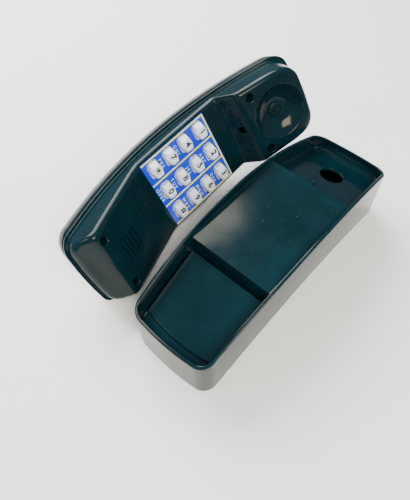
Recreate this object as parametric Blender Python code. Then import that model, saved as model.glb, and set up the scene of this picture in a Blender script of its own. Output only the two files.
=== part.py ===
"""Toy telephone: an arched cradle base with a handset leaning on its left side.

Run with: blender --background --python part.py

World frame: X across the base, Y along it towards the earpiece end, Z up.
The origin is on the floor below the middle of the whole telephone.
The handset is modelled in its own frame (X across, Y towards the earpiece,
Z out of its face, origin at the middle of the keypad label) and is then laid
down on its long side by its parent empty.
"""

import math

import bmesh
import bpy
import numpy as np
from mathutils import Matrix, Vector

# ---------------------------------------------------------------- driving sizes
GAP = 0.0003                  # air left between touching pieces

BASE_LENGTH = 0.215           # corner to corner, along Y
BASE_WIDTH = 0.066            # across the two ends of the rim
BASE_WALL_HEIGHT = 0.0437     # floor to rim at the ends
BASE_ARCH = 0.025             # rise of the rim at the middle
BASE_SIDE_BOW = 0.0039        # how far each long side swells outwards
BASE_END_BOW = 0.0028         # how far each end swells outwards
BASE_CORNER = 0.011           # plan radius of the corners
BASE_WALL = 0.0024
BASE_DECK = 0.0024            # thickness of the floors of the pockets
FOOT_LENGTH = 0.010           # flat stretch under each end
FOOT_WIDTH = 0.044
FOOT_HEIGHT = 0.003

PLATFORM_DROP = 0.0030        # centre platform below the rim, at its ends
EAR_POCKET_DEPTH = 0.0135     # floor of the earpiece pocket below the rim
MOUTH_SHELF_DEPTH = 0.0128    # mouthpiece shelf below the rim
MOAT_WIDTH = 0.0030           # channel round three sides of the shelf
MOAT_DEPTH = 0.0080
LEDGE_LENGTH = 0.0075         # shallow step at the end of the shelf
LEDGE_DROP = 0.0018
COVE_RADIUS = 0.0080          # where the earpiece pocket meets the end wall
CORD_HOLE_RADIUS = 0.0095
CORD_HOLE_FROM_END = 0.0265   # hole centre to the end of the base
STEP_DRAFT = 0.0004

BACK_PLATE_THICKNESS = 0.0022
BACK_PLATE_INSET = 0.0015     # plate above the lower edge of the walls
PLATE_EDGE_GAP = 0.0005
BASE_SCREW_X = 0.0210
BASE_SCREW_Y = 0.0770

HANDSET_OVERHANG = 0.0059     # handset longer than the base, at each end
HANDSET_WIDTH = 0.0650        # across the two ends of its flange
HANDSET_SIDE_BOW = 0.0036     # how far each long side swells outwards
HANDSET_END_BOW = 0.0022
HANDSET_CORNER = 0.0125
HANDSET_ARCH = 0.0262         # dip of the parting line at the middle
HANDSET_WALL = 0.0024
FLANGE_LEDGE = 0.0022         # flange beyond the walls of the front shell
FLANGE_RIM = 0.0024           # height of that flange above the parting line
PARTING_GROOVE = 0.0009       # groove under the flange
PARTING_TO_LABEL = 0.0145     # label above the parting line, at the middle
BACK_DEPTH = 0.0170           # back shell below the parting line
LABEL_OFFSET = 0.0013         # label centre ahead of the middle of the handset
MOUTH_RIDGE_HEIGHT = 0.0308   # mouthpiece ridge above the label
MOUTH_RIDGE_FROM_TIP = 0.0218
EAR_STEP_HEIGHT = 0.0194      # earpiece face above the label, at the neck
EAR_SLOPE = 0.31              # rise of the earpiece face towards its end
FACE_ROUNDING = ((0.0034, 0.0), (0.0018, 0.0006), (0.0009, 0.0020))       # (inset, drop)
FACE_REACH = ((0.0040, 0.0), (0.0024, 0.0006), (0.0013, 0.0022))          # kept off the base
BACK_ROUNDING = ((0.0105, 0.0), (0.0058, 0.0009), (0.0024, 0.0038), (0.0007, 0.0080),
                 (0.0, 0.0130))                                           # (inset, lift)
EAR_END_LEAN = 0.0056         # how far the earpiece's end wall leans inwards
EAR_CORNER = 0.0145           # plan radius of the earpiece face
NECK_STRIP = 0.0155           # flat strip between the label and the neck wall
NECK_RUN = 0.0076             # length that the neck wall leans over
CUP_TO_TOWER = 0.0035         # face left between the cup and the screw towers beside it
CUP_DEPTH = 0.0078
CUP_WALL = 0.0022
CUP_FROM_NECK = 0.0246
CUP_DISC_RADIUS = 0.0057
CUP_BOSS_RADIUS = 0.0022
SLOT_COUNT = 5
SLOT_PITCH = 0.0042
SLOT_WIDTH = 0.0014
SLOT_LENGTH = 0.0165
SLOTS_FROM_RIDGE = 0.0193
HOOK_HOLE_WIDTH = 0.0060
HOOK_HOLE_HEIGHT = 0.0070
HOOK_STRIP_LENGTH = 0.0400
HOOK_STRIP_HEIGHT = 0.0080
HOOK_STRIP_DEPTH = 0.0010

KEY_COLUMNS = 3
KEY_ROWS = 4
KEY_ROW_PITCH = 0.0158
LABEL_MARGIN = 0.0034         # label edge to the side wall of the handset
LABEL_BORDER = 0.0013         # label beyond the outer rows of keys
LABEL_THICKNESS = 0.0004
KEY_HEIGHT = 0.0052           # key top above the label
KEY_TRAVEL = 0.0020
KEY_WIDTH_Y = 0.0098
KEY_SPACE_X = 0.0078          # label left between two keys of one row
KEY_CLEARANCE = 0.0007        # window to key, on the long sides
KEY_END_CLEARANCE = 0.0014    # window to key, at the short ends
KEY_FLANGE = 0.0007           # flange beyond the window
FLANGE_THICKNESS = 0.0012
MAT_THICKNESS = 0.0010
DOME_HEIGHT = 0.0012
DOME_RADIUS = 0.0035
CARRIER_THICKNESS = 0.0018
CARRIER_END = 0.0075          # carrier plate beyond the label, at each end

SCREW_HEAD_RADIUS = 0.0027
SCREW_HEAD_HEIGHT = 0.0020
SCREW_SHANK_RADIUS = 0.0012
SCREW_BORE_CLEARANCE = 0.0004
TOWER_WALL = 0.0014
HANDSET_SCREW_LENGTH = 0.0120
CARRIER_SCREW_LENGTH = 0.0054
BASE_SCREW_LENGTH = 0.0100
TOWER_FOOT_LIFT = 0.0012      # foot of a front tower above the parting line
HEAD_SEAT = 0.0030            # plastic below the head of a long screw
BACK_POST_RADIUS = 0.0036
CARRIER_POST_RADIUS = 0.0030
CARRIER_SCREW_FROM_SIDE = 0.0105
CARRIER_SCREW_FROM_END = 0.0038
MOUTH_SCREW_X = 0.0211
EAR_SCREW_X = 0.0238
MOUTH_SCREW_FROM_RIDGE = 0.0038
EAR_SCREW_FROM_NECK = 0.0075

PEG_RADIUS = 0.0024
PEG_REACH = 0.0055
PEG_DROP = 0.0040             # peg centre below the centre platform
HOOK_ROOM = 0.0042            # step of the base to the foot of the neck wall

LEAN = math.radians(62.7)     # handset face turned from straight up
LEAN_PITCH = math.radians(7.4)    # earpiece end raised
LEAN_YAW = math.radians(-2.4)
LEAN_SHIFT = 0.0065           # label centre ahead of the middle of the base
LEAN_GAP = 0.0034             # handset to the side of the base

# ---------------------------------------------------------------- derived sizes
HANDSET_LENGTH = BASE_LENGTH + 2 * HANDSET_OVERHANG
LABEL_WIDTH = HANDSET_WIDTH + 2 * (HANDSET_SIDE_BOW - FLANGE_LEDGE - LABEL_MARGIN)
LABEL_LENGTH = KEY_ROWS * KEY_ROW_PITCH + 2 * LABEL_BORDER
KEY_COLUMN_PITCH = (LABEL_WIDTH - 2 * LABEL_BORDER + 0.0030) / KEY_COLUMNS
KEY_WIDTH_X = KEY_COLUMN_PITCH - KEY_SPACE_X
FACE_HEIGHT = 0.0005          # handset face round the label, above the label
LABEL_END = LABEL_LENGTH / 2
NECK_FOOT = LABEL_END + NECK_STRIP
NECK_TOP = NECK_FOOT + NECK_RUN
TIP_LOW = -LABEL_OFFSET - HANDSET_LENGTH / 2 - HANDSET_END_BOW
TIP_HIGH = -LABEL_OFFSET + HANDSET_LENGTH / 2 + HANDSET_END_BOW
MOUTH_RIDGE = TIP_LOW + MOUTH_RIDGE_FROM_TIP
MOUTH_SLOPE = (MOUTH_RIDGE_HEIGHT - FACE_HEIGHT) / (-LABEL_END - 0.002 - MOUTH_RIDGE)
INNER_FACE = -LABEL_THICKNESS - 0.0019    # underside of the wall below the label
FLANGE_TOP = INNER_FACE - GAP
FLANGE_BOTTOM = FLANGE_TOP - FLANGE_THICKNESS
DOME_TOP = FLANGE_BOTTOM - KEY_TRAVEL - GAP
MAT_TOP = DOME_TOP - DOME_HEIGHT
CARRIER_TOP = MAT_TOP - MAT_THICKNESS - GAP
CARRIER_BOTTOM = CARRIER_TOP - CARRIER_THICKNESS
STEP_Y = NECK_FOOT + LABEL_OFFSET - HOOK_ROOM       # edge of the earpiece pocket
SHELF_Y = -(LABEL_END + 0.0155)                     # far end of the shelf
GROOVE_Y = SHELF_Y + MOAT_WIDTH                     # near end of the platform
TOWER_RADIUS = SCREW_HEAD_RADIUS + SCREW_BORE_CLEARANCE + TOWER_WALL
CUP_RADIUS = (math.hypot(EAR_SCREW_X, CUP_FROM_NECK - EAR_SCREW_FROM_NECK) - TOWER_RADIUS
              - CUP_TO_TOWER)


# ---------------------------------------------------------------- scene helpers
def clear_scene():
    """Remove every object that the file starts with."""
    for thing in list(bpy.data.objects):
        bpy.data.objects.remove(thing, do_unlink=True)


def plastic(name, colour, roughness, metallic=0.0):
    """A Principled material with one colour."""
    material = bpy.data.materials.new(name)
    material.use_nodes = True
    shader = material.node_tree.nodes["Principled BSDF"]
    shader.inputs["Base Color"].default_value = (*colour, 1.0)
    shader.inputs["Roughness"].default_value = roughness
    shader.inputs["Metallic"].default_value = metallic
    return material


def add_object(name, mesh_data, material=None, parent=None, smooth=True):
    """Make an object from (vertices, faces); with no material it is a cutter."""
    vertices, faces = mesh_data
    mesh = bpy.data.meshes.new(name)
    mesh.from_pydata([tuple(v) for v in vertices], [], faces)
    shape = bmesh.new()
    shape.from_mesh(mesh)
    bmesh.ops.recalc_face_normals(shape, faces=shape.faces)
    shape.to_mesh(mesh)
    shape.free()
    item = bpy.data.objects.new(name, mesh)
    bpy.context.scene.collection.objects.link(item)
    item.parent = parent
    if material is None:
        item.hide_render = True
        item.display_type = "WIRE"
    else:
        mesh.materials.append(material)
        if smooth:
            mesh.shade_smooth()
            mesh.set_sharp_from_angle(angle=math.radians(35))
    return item


def apply_boolean(item, other, operation):
    """Add one exact Boolean to an object's modifiers."""
    modifier = item.modifiers.new(other.name, "BOOLEAN")
    modifier.operation = operation
    modifier.object = other
    modifier.solver = "EXACT"


def cut(item, name, mesh_data):
    """Cut a shape out of an object."""
    apply_boolean(item, add_object(name, mesh_data, parent=item.parent), "DIFFERENCE")


def join(item, name, mesh_data):
    """Join a shape onto an object."""
    apply_boolean(item, add_object(name, mesh_data, parent=item.parent), "UNION")


# ---------------------------------------------------------------- mesh helpers
def merge(parts):
    """Several (vertices, faces) as one, each still a body of its own."""
    vertices, faces = [], []
    for part_vertices, part_faces in parts:
        start = len(vertices)
        vertices += [Vector(v) for v in part_vertices]
        faces += [[start + i for i in face] for face in part_faces]
    return vertices, faces


def moved(mesh_data, matrix):
    """The same shape after a transform."""
    vertices, faces = mesh_data
    return [matrix @ Vector(v) for v in vertices], faces


def loft(rings):
    """A closed body through rings of equally many points."""
    count = len(rings[0])
    vertices = [Vector(p) for ring in rings for p in ring]
    faces = []
    for level in range(len(rings) - 1):
        for i in range(count):
            j = (i + 1) % count
            low, high = level * count, (level + 1) * count
            faces.append([low + i, low + j, high + j, high + i])
    faces.append(list(range(count))[::-1])
    last = (len(rings) - 1) * count
    faces.append([last + i for i in range(count)])
    return vertices, faces


def box(low, high):
    """A box between two corners."""
    (x0, y0, z0), (x1, y1, z1) = low, high
    return loft([[(x0, y0, z), (x1, y0, z), (x1, y1, z), (x0, y1, z)] for z in (z0, z1)])


def circle(radius, count, centre=(0.0, 0.0)):
    """Points round a circle in the XY plane."""
    angles = [2 * math.pi * i / count for i in range(count)]
    return [(centre[0] + radius * math.cos(a), centre[1] + radius * math.sin(a)) for a in angles]


def turned(profile, count=24):
    """A body turned about Z from (radius, height) points, lowest first."""
    return loft([[(x, y, z) for x, y in circle(r, count)] for r, z in profile])


def column(x, y, radius, bottom, top, count=16):
    """A post whose two ends follow height functions of y."""
    points = circle(radius, count, (x, y))
    return loft([[(px, py, bottom(py)) for px, py in points],
                 [(px, py, top(py)) for px, py in points]])


def barrel(half_x, half_y, z, count=12, power=3.0):
    """A level ring, rounder than a rectangle and squarer than an ellipse."""
    ring = []
    for i in range(count):
        a = 2 * math.pi * (i + 0.5) / count
        c, s = math.cos(a), math.sin(a)
        x = math.copysign(abs(c) ** (2 / power), c) * half_x
        y = math.copysign(abs(s) ** (2 / power), s) * half_y
        ring.append((x, y, z))
    return ring


def interpolate(knots):
    """A straight-line profile through (y, z) knots."""
    ys, zs = zip(*knots)
    return lambda y: float(np.interp(y, ys, zs))


class Plan:
    """A long plan outline with bowed sides, bowed ends and round corners."""

    ARC = [math.radians(a) for a in (8, 26, 45, 64, 82)]
    END = (0.62, 0.22)

    def __init__(self, length, width, side_bow, end_bow, corner, centre, stations):
        self.half = length / 2
        self.width = width
        self.side_bow = side_bow
        self.end_bow = end_bow
        self.corner = corner
        self.centre = centre
        self.stations = [s for s in stations if abs(s - centre) < self.half - corner]

    def half_width(self, y):
        """Half the width at y, before the corners round it off."""
        t = (y - self.centre) / self.half
        return self.width / 2 + self.side_bow * (1 - t * t)

    def end_half(self, inset, lean, corner):
        """Right-hand points of an end, from the side to the middle."""
        side = self.half_width(self.centre + self.half - self.corner) - inset
        x0 = side - corner
        reach = self.half - inset - lean
        y0 = reach + self.end_bow * (1 - (2 * x0 / self.width) ** 2) - corner
        points = [(x0 + corner * math.cos(a), y0 + corner * math.sin(a)) for a in self.ARC]
        for share in self.END:
            x = x0 * share
            points.append((x, reach + self.end_bow * (1 - (2 * x / self.width) ** 2)))
        return points

    def pairs(self, inset, lean=0.0, corner=None):
        """Half-width and y of every station; the +Y end may lean in and be rounder."""
        plain = max(self.corner - inset, 0.0015)
        low = [(x, self.centre - y) for x, y in self.end_half(inset, 0.0, plain)[::-1]]
        high = [(x, self.centre + y) for x, y in self.end_half(inset, lean, corner or plain)]
        return low + [(self.half_width(y) - inset, y) for y in self.stations] + high

    def ring(self, inset, height, lean=0.0, corner=None):
        """Right-hand and left-hand points at a height that is a function of y."""
        pairs = self.pairs(inset, lean, corner)
        right = [(x, y, height(y)) for x, y in pairs]
        left = [(-x, y, height(y)) for x, y in pairs]
        return right, left


def ladder(rings):
    """A closed body through plan rings; both end caps are rungs across it."""
    count = len(rings[0][0])
    vertices = []
    for right, left in rings:
        vertices += [Vector(p) for p in right] + [Vector(p) for p in left]
    faces = []
    for level in range(len(rings) - 1):
        a, b = level * 2 * count, (level + 1) * 2 * count
        for i in range(count - 1):
            faces.append([a + i, a + i + 1, b + i + 1, b + i])
            faces.append([a + count + i + 1, a + count + i, b + count + i, b + count + i + 1])
        faces.append([a + count, a, b, b + count])
        faces.append([a + count - 1, a + 2 * count - 1, b + 2 * count - 1, b + count - 1])
    for level, flip in ((0, False), (len(rings) - 1, True)):
        a = level * 2 * count
        for i in range(count - 1):
            face = [a + i, a + count + i, a + count + i + 1, a + i + 1]
            faces.append(face[::-1] if flip else face)
    return vertices, faces


def screw(length):
    """A pan-head screw, point down, with its head resting on z = 0."""
    profile = [(0.0004, -length), (SCREW_SHANK_RADIUS, -length + 0.0018), (SCREW_SHANK_RADIUS, 0.0),
               (SCREW_HEAD_RADIUS, 0.0), (SCREW_HEAD_RADIUS, SCREW_HEAD_HEIGHT * 0.6),
               (SCREW_HEAD_RADIUS * 0.55, SCREW_HEAD_HEIGHT)]
    return turned(profile, 10)


# ---------------------------------------------------------------- base shapes
def rim(y):
    """Height of the base's rim."""
    return BASE_WALL_HEIGHT + BASE_ARCH * (1 - (2 * y / BASE_LENGTH) ** 2)


def underside(y):
    """Height of the lower edge of the base's walls, flat under both ends."""
    reach = BASE_LENGTH / 2 - FOOT_LENGTH
    return max(0.0, BASE_ARCH * (1 - (y / reach) ** 2))


PLATFORM_Z = min(rim(STEP_Y), rim(GROOVE_Y)) - PLATFORM_DROP
POCKET_END = BASE_LENGTH / 2 - BASE_WALL
EAR_FLOOR = interpolate([(STEP_Y, rim(STEP_Y) - EAR_POCKET_DEPTH),
                         (POCKET_END, rim(POCKET_END) - EAR_POCKET_DEPTH)])
SHELF = interpolate([(-POCKET_END, rim(POCKET_END) - MOUTH_SHELF_DEPTH),
                     (SHELF_Y, rim(SHELF_Y) - MOUTH_SHELF_DEPTH)])


def pocket_floor(y):
    """Floor of everything that is hollowed out of the top of the base."""
    if y < GROOVE_Y - STEP_DRAFT / 2:
        return SHELF(y) - MOAT_DEPTH
    if y < STEP_Y + STEP_DRAFT / 2:
        return PLATFORM_Z
    rise = max(0.0, y - (POCKET_END + BASE_END_BOW * 0.6 - COVE_RADIUS))
    rise = min(rise, COVE_RADIUS)
    return EAR_FLOOR(y) + COVE_RADIUS - math.sqrt(COVE_RADIUS ** 2 - rise ** 2 * 0.98)


def hollow_roof(y):
    """Roof of the hollow under the base, one deck below the pockets."""
    if y < GROOVE_Y + BASE_DECK:
        return SHELF(y) - MOAT_DEPTH - BASE_DECK
    if y < STEP_Y - BASE_DECK:
        return PLATFORM_Z - BASE_DECK
    return EAR_FLOOR(y) - BASE_DECK


def base_plan():
    """The base's outline, with stations wherever its floors change height."""
    steps = [GROOVE_Y - STEP_DRAFT, GROOVE_Y, STEP_Y, STEP_Y + STEP_DRAFT,
             GROOVE_Y + BASE_DECK - STEP_DRAFT, GROOVE_Y + BASE_DECK,
             STEP_Y - BASE_DECK - STEP_DRAFT, STEP_Y - BASE_DECK,
             POCKET_END - COVE_RADIUS - 0.002]
    even = np.linspace(-0.46, 0.46, 15) * BASE_LENGTH
    stations = sorted(steps + [y for y in even if min(abs(y - s) for s in steps) > 0.002])
    return Plan(BASE_LENGTH, BASE_WIDTH, BASE_SIDE_BOW, BASE_END_BOW, BASE_CORNER, 0.0, stations)


def base_screw_places():
    """Where the four screws of the back plate stand."""
    return [(sx * BASE_SCREW_X, sy * BASE_SCREW_Y) for sy in (-1, 1) for sx in (-1, 1)]


def plate_low(y):
    """Lower face of the back plate."""
    return underside(y) + BACK_PLATE_INSET


def plate_pad(y):
    """Lower and upper level of the flat pad round a base screw."""
    middle = plate_low(y) + BACK_PLATE_THICKNESS / 2
    return middle - 0.0033, middle + 0.0033


def build_base_tray(material, frame):
    """The cradle: walls, pockets, platform, shelf, peg and screw posts."""
    plan = base_plan()
    outside = ladder([plan.ring(0.0012, underside),
                      plan.ring(0.0, lambda y: underside(y) + 0.0012),
                      plan.ring(0.0, lambda y: rim(y) - 0.0006),
                      plan.ring(0.0006, rim)])
    tray = add_object("base_tray", outside, material, frame)
    cut(tray, "tray_pocket", ladder([plan.ring(BASE_WALL, pocket_floor),
                                     plan.ring(BASE_WALL, lambda y: rim(y) + 0.004)]))
    cut(tray, "tray_hollow", ladder([plan.ring(BASE_WALL, lambda y: underside(y) - 0.004),
                                     plan.ring(BASE_WALL, hollow_roof)]))
    join(tray, "tray_shelf", mouth_shelf(plan))
    join(tray, "tray_posts", merge(base_posts()))
    cut(tray, "tray_holes", merge(base_holes()))
    return tray


def strip_body(plan, y_from, y_to, inset, low, high):
    """A block across the base between two y values, its sides along the walls."""
    rows = [y_from + (y_to - y_from) * i / 6 for i in range(7)]
    right = [(plan.half_width(y) - inset, y) for y in rows]
    outline = right + [(-x, y) for x, y in right[::-1]]
    return loft([[(x, y, low(y)) for x, y in outline], [(x, y, high(y)) for x, y in outline]])


def mouth_shelf(plan):
    """The shelf for the mouthpiece and the shallow ledge at its end, hollow below."""
    bury = 0.0012
    shelf_end = -POCKET_END + LEDGE_LENGTH
    inset = BASE_WALL + MOAT_WIDTH

    def floor(y):
        return SHELF(y) - MOAT_DEPTH - bury

    top = strip_body(plan, shelf_end, SHELF_Y, inset, floor, SHELF)
    ledge = strip_body(plan, -BASE_LENGTH / 2 - 0.0004, shelf_end - GAP, inset + 0.0008, floor,
                       lambda y: SHELF(y) - LEDGE_DROP)
    bridge = strip_body(plan, shelf_end - 0.001, shelf_end + 0.001, inset + 0.002, floor,
                        lambda y: SHELF(y) - LEDGE_DROP - 0.001)
    return union_mesh("mouth_shelf_block", [top, ledge, bridge])


def union_mesh(name, bodies):
    """Several overlapping bodies as one closed mesh."""
    first = add_object(name, bodies[0])
    others = []
    for i, body in enumerate(bodies[1:]):
        other = add_object(f"{name}_{i}", body)
        apply_boolean(first, other, "UNION")
        others.append(other)
    graph = bpy.context.evaluated_depsgraph_get()
    result = first.evaluated_get(graph).to_mesh()
    data = [v.co.copy() for v in result.vertices], [list(p.vertices) for p in result.polygons]
    for item in [first] + others:
        bpy.data.objects.remove(item, do_unlink=True)
    return data


def base_posts():
    """Screw posts under the deck, the feet at both ends and the hook peg."""
    bodies = []
    for x, y in base_screw_places():
        top = (lambda v: SHELF(v) - MOAT_DEPTH - 0.001) if y < 0 else (lambda v: EAR_FLOOR(v) - 0.001)
        level = plate_pad(y)[1] + GAP
        bodies.append(column(x, y, 0.0036, lambda v, z=level: z, top))
    for side in (-1, 1):
        ends = sorted((side * (BASE_LENGTH / 2 - FOOT_LENGTH + 0.0015),
                       side * (BASE_LENGTH / 2 + 0.0008)))
        bodies.append(box((-FOOT_WIDTH / 2, ends[0], 0.0), (FOOT_WIDTH / 2, ends[1], FOOT_HEIGHT)))
    peg = turned([(PEG_RADIUS, -0.0015), (PEG_RADIUS, PEG_REACH - 0.001),
                  (PEG_RADIUS - 0.0008, PEG_REACH)], 16)
    place = Matrix.Translation((0.0, STEP_Y, PLATFORM_Z - PEG_DROP)) @ Matrix.Rotation(-math.pi / 2, 4, "X")
    bodies.append(moved(peg, place))
    return bodies


def base_holes():
    """The round hole in the earpiece pocket and the pilot holes of the posts."""
    hole_y = BASE_LENGTH / 2 - CORD_HOLE_FROM_END
    bodies = [column(0.0, hole_y, CORD_HOLE_RADIUS, lambda y: EAR_FLOOR(y) - 0.006,
                     lambda y: EAR_FLOOR(y) + 0.004, 32)]
    bore = SCREW_SHANK_RADIUS + SCREW_BORE_CLEARANCE
    for x, y in base_screw_places():
        level = plate_pad(y)[1]
        bodies.append(column(x, y, bore, lambda v, z=level: z - 0.001,
                             lambda v, z=level: z + 0.0085))
    return bodies


def build_back_plate(material, frame):
    """The arched plate that closes the underside between the two feet."""
    reach = BASE_LENGTH / 2 - FOOT_LENGTH - 0.0005
    rows = np.linspace(-reach, reach, 25)
    plan = base_plan()
    inset = BASE_WALL + PLATE_EDGE_GAP
    right = [(plan.half_width(y) - inset, y) for y in rows]
    rings = []
    for lift in (0.0, BACK_PLATE_THICKNESS):
        rings.append(([(x, y, plate_low(y) + lift) for x, y in right],
                      [(-x, y, plate_low(y) + lift) for x, y in right]))
    plate = add_object("base_back_plate", ladder(rings), material, frame)
    pads, bores = [], []
    for x, y in base_screw_places():
        low, high = plate_pad(y)
        pads.append(column(x, y, 0.0046, lambda v, z=low: z, lambda v, z=high: z, 20))
        bores.append(column(x, y, SCREW_SHANK_RADIUS + SCREW_BORE_CLEARANCE,
                            lambda v, z=low: z - 0.001, lambda v, z=high: z + 0.001))
        bores.append(column(x, y, SCREW_HEAD_RADIUS + SCREW_BORE_CLEARANCE,
                            lambda v, z=low: z - 0.001, lambda v, z=low: z + 0.0024))
    join(plate, "plate_pads", merge(pads))
    cut(plate, "plate_bores", merge(bores[0::2]))
    cut(plate, "plate_counterbores", merge(bores[1::2]))
    return plate


def build_base_screws(material, frame):
    """Four screws, driven upwards through the back plate."""
    for number, (x, y) in enumerate(base_screw_places(), start=1):
        item = add_object(f"base_screw_{number}", screw(BASE_SCREW_LENGTH), material, frame)
        item.rotation_euler = (math.pi, 0.0, 0.0)
        item.location = (x, y, plate_pad(y)[0] + 0.0024 - GAP)


# ---------------------------------------------------------------- handset shapes
def parting(y):
    """Height of the line where the two handset shells meet."""
    t = (y + LABEL_OFFSET) / (HANDSET_LENGTH / 2)
    return -PARTING_TO_LABEL + HANDSET_ARCH * min(t * t, 1.06)


FACE_KNOTS = [
    (TIP_LOW - 0.001, parting(TIP_LOW) + 0.0052),
    (TIP_LOW + 0.0030, parting(TIP_LOW) + 0.0070),
    (MOUTH_RIDGE - 0.0100, MOUTH_RIDGE_HEIGHT - 0.0075),
    (MOUTH_RIDGE - 0.0055, MOUTH_RIDGE_HEIGHT - 0.0029),
    (MOUTH_RIDGE - 0.0020, MOUTH_RIDGE_HEIGHT - 0.0006),
    (MOUTH_RIDGE + 0.0015, MOUTH_RIDGE_HEIGHT - 0.0003),
    (MOUTH_RIDGE + 0.0060, MOUTH_RIDGE_HEIGHT - MOUTH_SLOPE * 0.0060),
    (-LABEL_END - 0.0060, FACE_HEIGHT + MOUTH_SLOPE * 0.0040),
    (-LABEL_END - 0.0020, FACE_HEIGHT + 0.0004),
    (-LABEL_END - 0.0008, FACE_HEIGHT),
    (NECK_FOOT - 0.0015, FACE_HEIGHT),
    (NECK_FOOT, FACE_HEIGHT + 0.0006),
    (NECK_TOP - 0.0006, EAR_STEP_HEIGHT - 0.0010),
    (NECK_TOP + 0.0006, EAR_STEP_HEIGHT + 0.0002),
    (TIP_HIGH, EAR_STEP_HEIGHT + EAR_SLOPE * (TIP_HIGH - NECK_TOP)),
]
face = interpolate(FACE_KNOTS)


def face_inside(y):
    """Inner side of the handset's face, kept clear of its steep stretches."""
    reach = 0.0021
    roof = min(face(y + d) for d in (-reach, -reach / 2, 0.0, reach / 2, reach)) - HANDSET_WALL
    if abs(y) < LABEL_END + 0.001:
        return min(roof, INNER_FACE)
    return roof


def handset_plan():
    """The handset's outline, with stations wherever its face bends."""
    bends = [y for y, _ in FACE_KNOTS] + [NECK_FOOT - 0.0032, NECK_TOP - 0.0030, NECK_TOP + 0.0028,
                                          -LABEL_END - 0.0011, LABEL_END + 0.0011]
    even = np.linspace(-0.46, 0.38, 13) * HANDSET_LENGTH - LABEL_OFFSET
    stations = sorted(bends + [y for y in even if min(abs(y - b) for b in bends) > 0.003])
    last = TIP_HIGH - EAR_END_LEAN - FLANGE_LEDGE - 0.0034 - EAR_CORNER
    stations = [y for y in stations if y < last]
    return Plan(HANDSET_LENGTH, HANDSET_WIDTH, HANDSET_SIDE_BOW, HANDSET_END_BOW, HANDSET_CORNER,
                -LABEL_OFFSET, stations)


def above_parting(lift):
    """A height function a fixed way above the parting line."""
    return lambda y: parting(y) + lift


def handset_screw_places():
    """The four long screws: two at the mouthpiece, two at the earpiece."""
    mouth_y = MOUTH_RIDGE + MOUTH_SCREW_FROM_RIDGE
    ear_y = NECK_TOP + EAR_SCREW_FROM_NECK
    return [(-MOUTH_SCREW_X, mouth_y), (MOUTH_SCREW_X, mouth_y),
            (-EAR_SCREW_X, ear_y), (EAR_SCREW_X, ear_y)]


def tower_foot(y):
    """Level where a front tower ends, just above its back post."""
    return parting(y) + TOWER_FOOT_LIFT


def carrier_screw_places():
    """The four small screws that hold the key carrier."""
    x = LABEL_WIDTH / 2 - CARRIER_SCREW_FROM_SIDE
    y = LABEL_END + CARRIER_END - CARRIER_SCREW_FROM_END
    return [(sx * x, sy * y) for sy in (-1, 1) for sx in (-1, 1)]


def key_places():
    """Names and centres of the twelve keys, row by row from the earpiece end."""
    names = ["1", "2", "3", "4", "5", "6", "7", "8", "9", "star", "0", "hash"]
    places = []
    for i, name in enumerate(names):
        row, col = divmod(i, KEY_COLUMNS)
        x = (col - (KEY_COLUMNS - 1) / 2) * KEY_COLUMN_PITCH
        y = ((KEY_ROWS - 1) / 2 - row) * KEY_ROW_PITCH
        places.append((name, x, y))
    return places


def key_windows(low, high):
    """The twelve window shapes between two levels."""
    half_x = KEY_WIDTH_X / 2 + KEY_END_CLEARANCE
    half_y = KEY_WIDTH_Y / 2 + KEY_CLEARANCE
    window = loft([barrel(half_x, half_y, low), barrel(half_x, half_y, high)])
    return merge([moved(window, Matrix.Translation((x, y, 0.0))) for _, x, y in key_places()])


def ear_frame():
    """A frame on the earpiece face, at the middle of its cup, Z out of the face."""
    y = NECK_TOP + CUP_FROM_NECK
    return Matrix.Translation((0.0, y, face(y))) @ Matrix.Rotation(math.atan(EAR_SLOPE), 4, "X")


def cup_profile(extra):
    """Half-section of the earpiece dish, grown by extra all round."""
    depth = CUP_DEPTH + extra
    return [(0.0060, -depth), (0.0110 + extra, -depth + 0.0010), (0.0155 + extra, -depth + 0.0032),
            (CUP_RADIUS - 0.0008 + extra, -0.0012), (CUP_RADIUS + extra, -0.0006 if extra else 0.004)]


def build_front_shell(material, frame):
    """The handset's front: keypad, mouthpiece block, neck wall and earpiece block."""
    plan = handset_plan()
    ledge, wall = FLANGE_LEDGE, FLANGE_LEDGE + HANDSET_WALL
    lean, corner = EAR_END_LEAN, EAR_CORNER
    shell = ladder([
        *[plan.ring(ledge + inset, lambda y, d=drop: face(y) - d, lean, corner)
          for inset, drop in FACE_ROUNDING],
        plan.ring(ledge + 0.0004, above_parting(FLANGE_RIM), 0.0, corner),
        plan.ring(0.0004, above_parting(FLANGE_RIM)),
        plan.ring(0.0, above_parting(FLANGE_RIM - 0.0005)),
        plan.ring(0.0, above_parting(GAP)),
        plan.ring(wall, above_parting(GAP)),
        plan.ring(wall + 0.0004, lambda y: min(parting(y) + FLANGE_RIM, face_inside(y) - 0.0012)),
        plan.ring(wall + 0.0012, lambda y: face_inside(y) - 0.0008, lean, corner),
        plan.ring(wall + 0.0024, face_inside, lean, corner),
    ])
    front = add_object("handset_front_shell", shell, material, frame)
    join(front, "front_posts", merge(front_posts()))
    cut(front, "front_cup", moved(turned(cup_profile(0.0), 40), ear_frame()))
    join(front, "front_cup_rings", cup_rings())
    cut(front, "front_windows", merge([key_windows(-0.006, 0.004)]))
    label_half = LABEL_WIDTH / 2 + GAP, LABEL_LENGTH / 2 + GAP
    cut(front, "front_label_seat", box((-label_half[0], -label_half[1], -LABEL_THICKNESS - GAP),
                                       (label_half[0], label_half[1], 0.004)))
    cut(front, "front_slots", merge(grille_slots()))
    cut(front, "front_hook_strip", hook_opening(HOOK_STRIP_LENGTH, HOOK_STRIP_HEIGHT, HOOK_STRIP_DEPTH))
    cut(front, "front_hook_hole", hook_opening(HOOK_HOLE_WIDTH, HOOK_HOLE_HEIGHT, 0.008))
    cut(front, "front_bores", merge(front_bores()))
    cut(front, "front_counterbores", merge(front_counterbores()))
    return front


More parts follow.
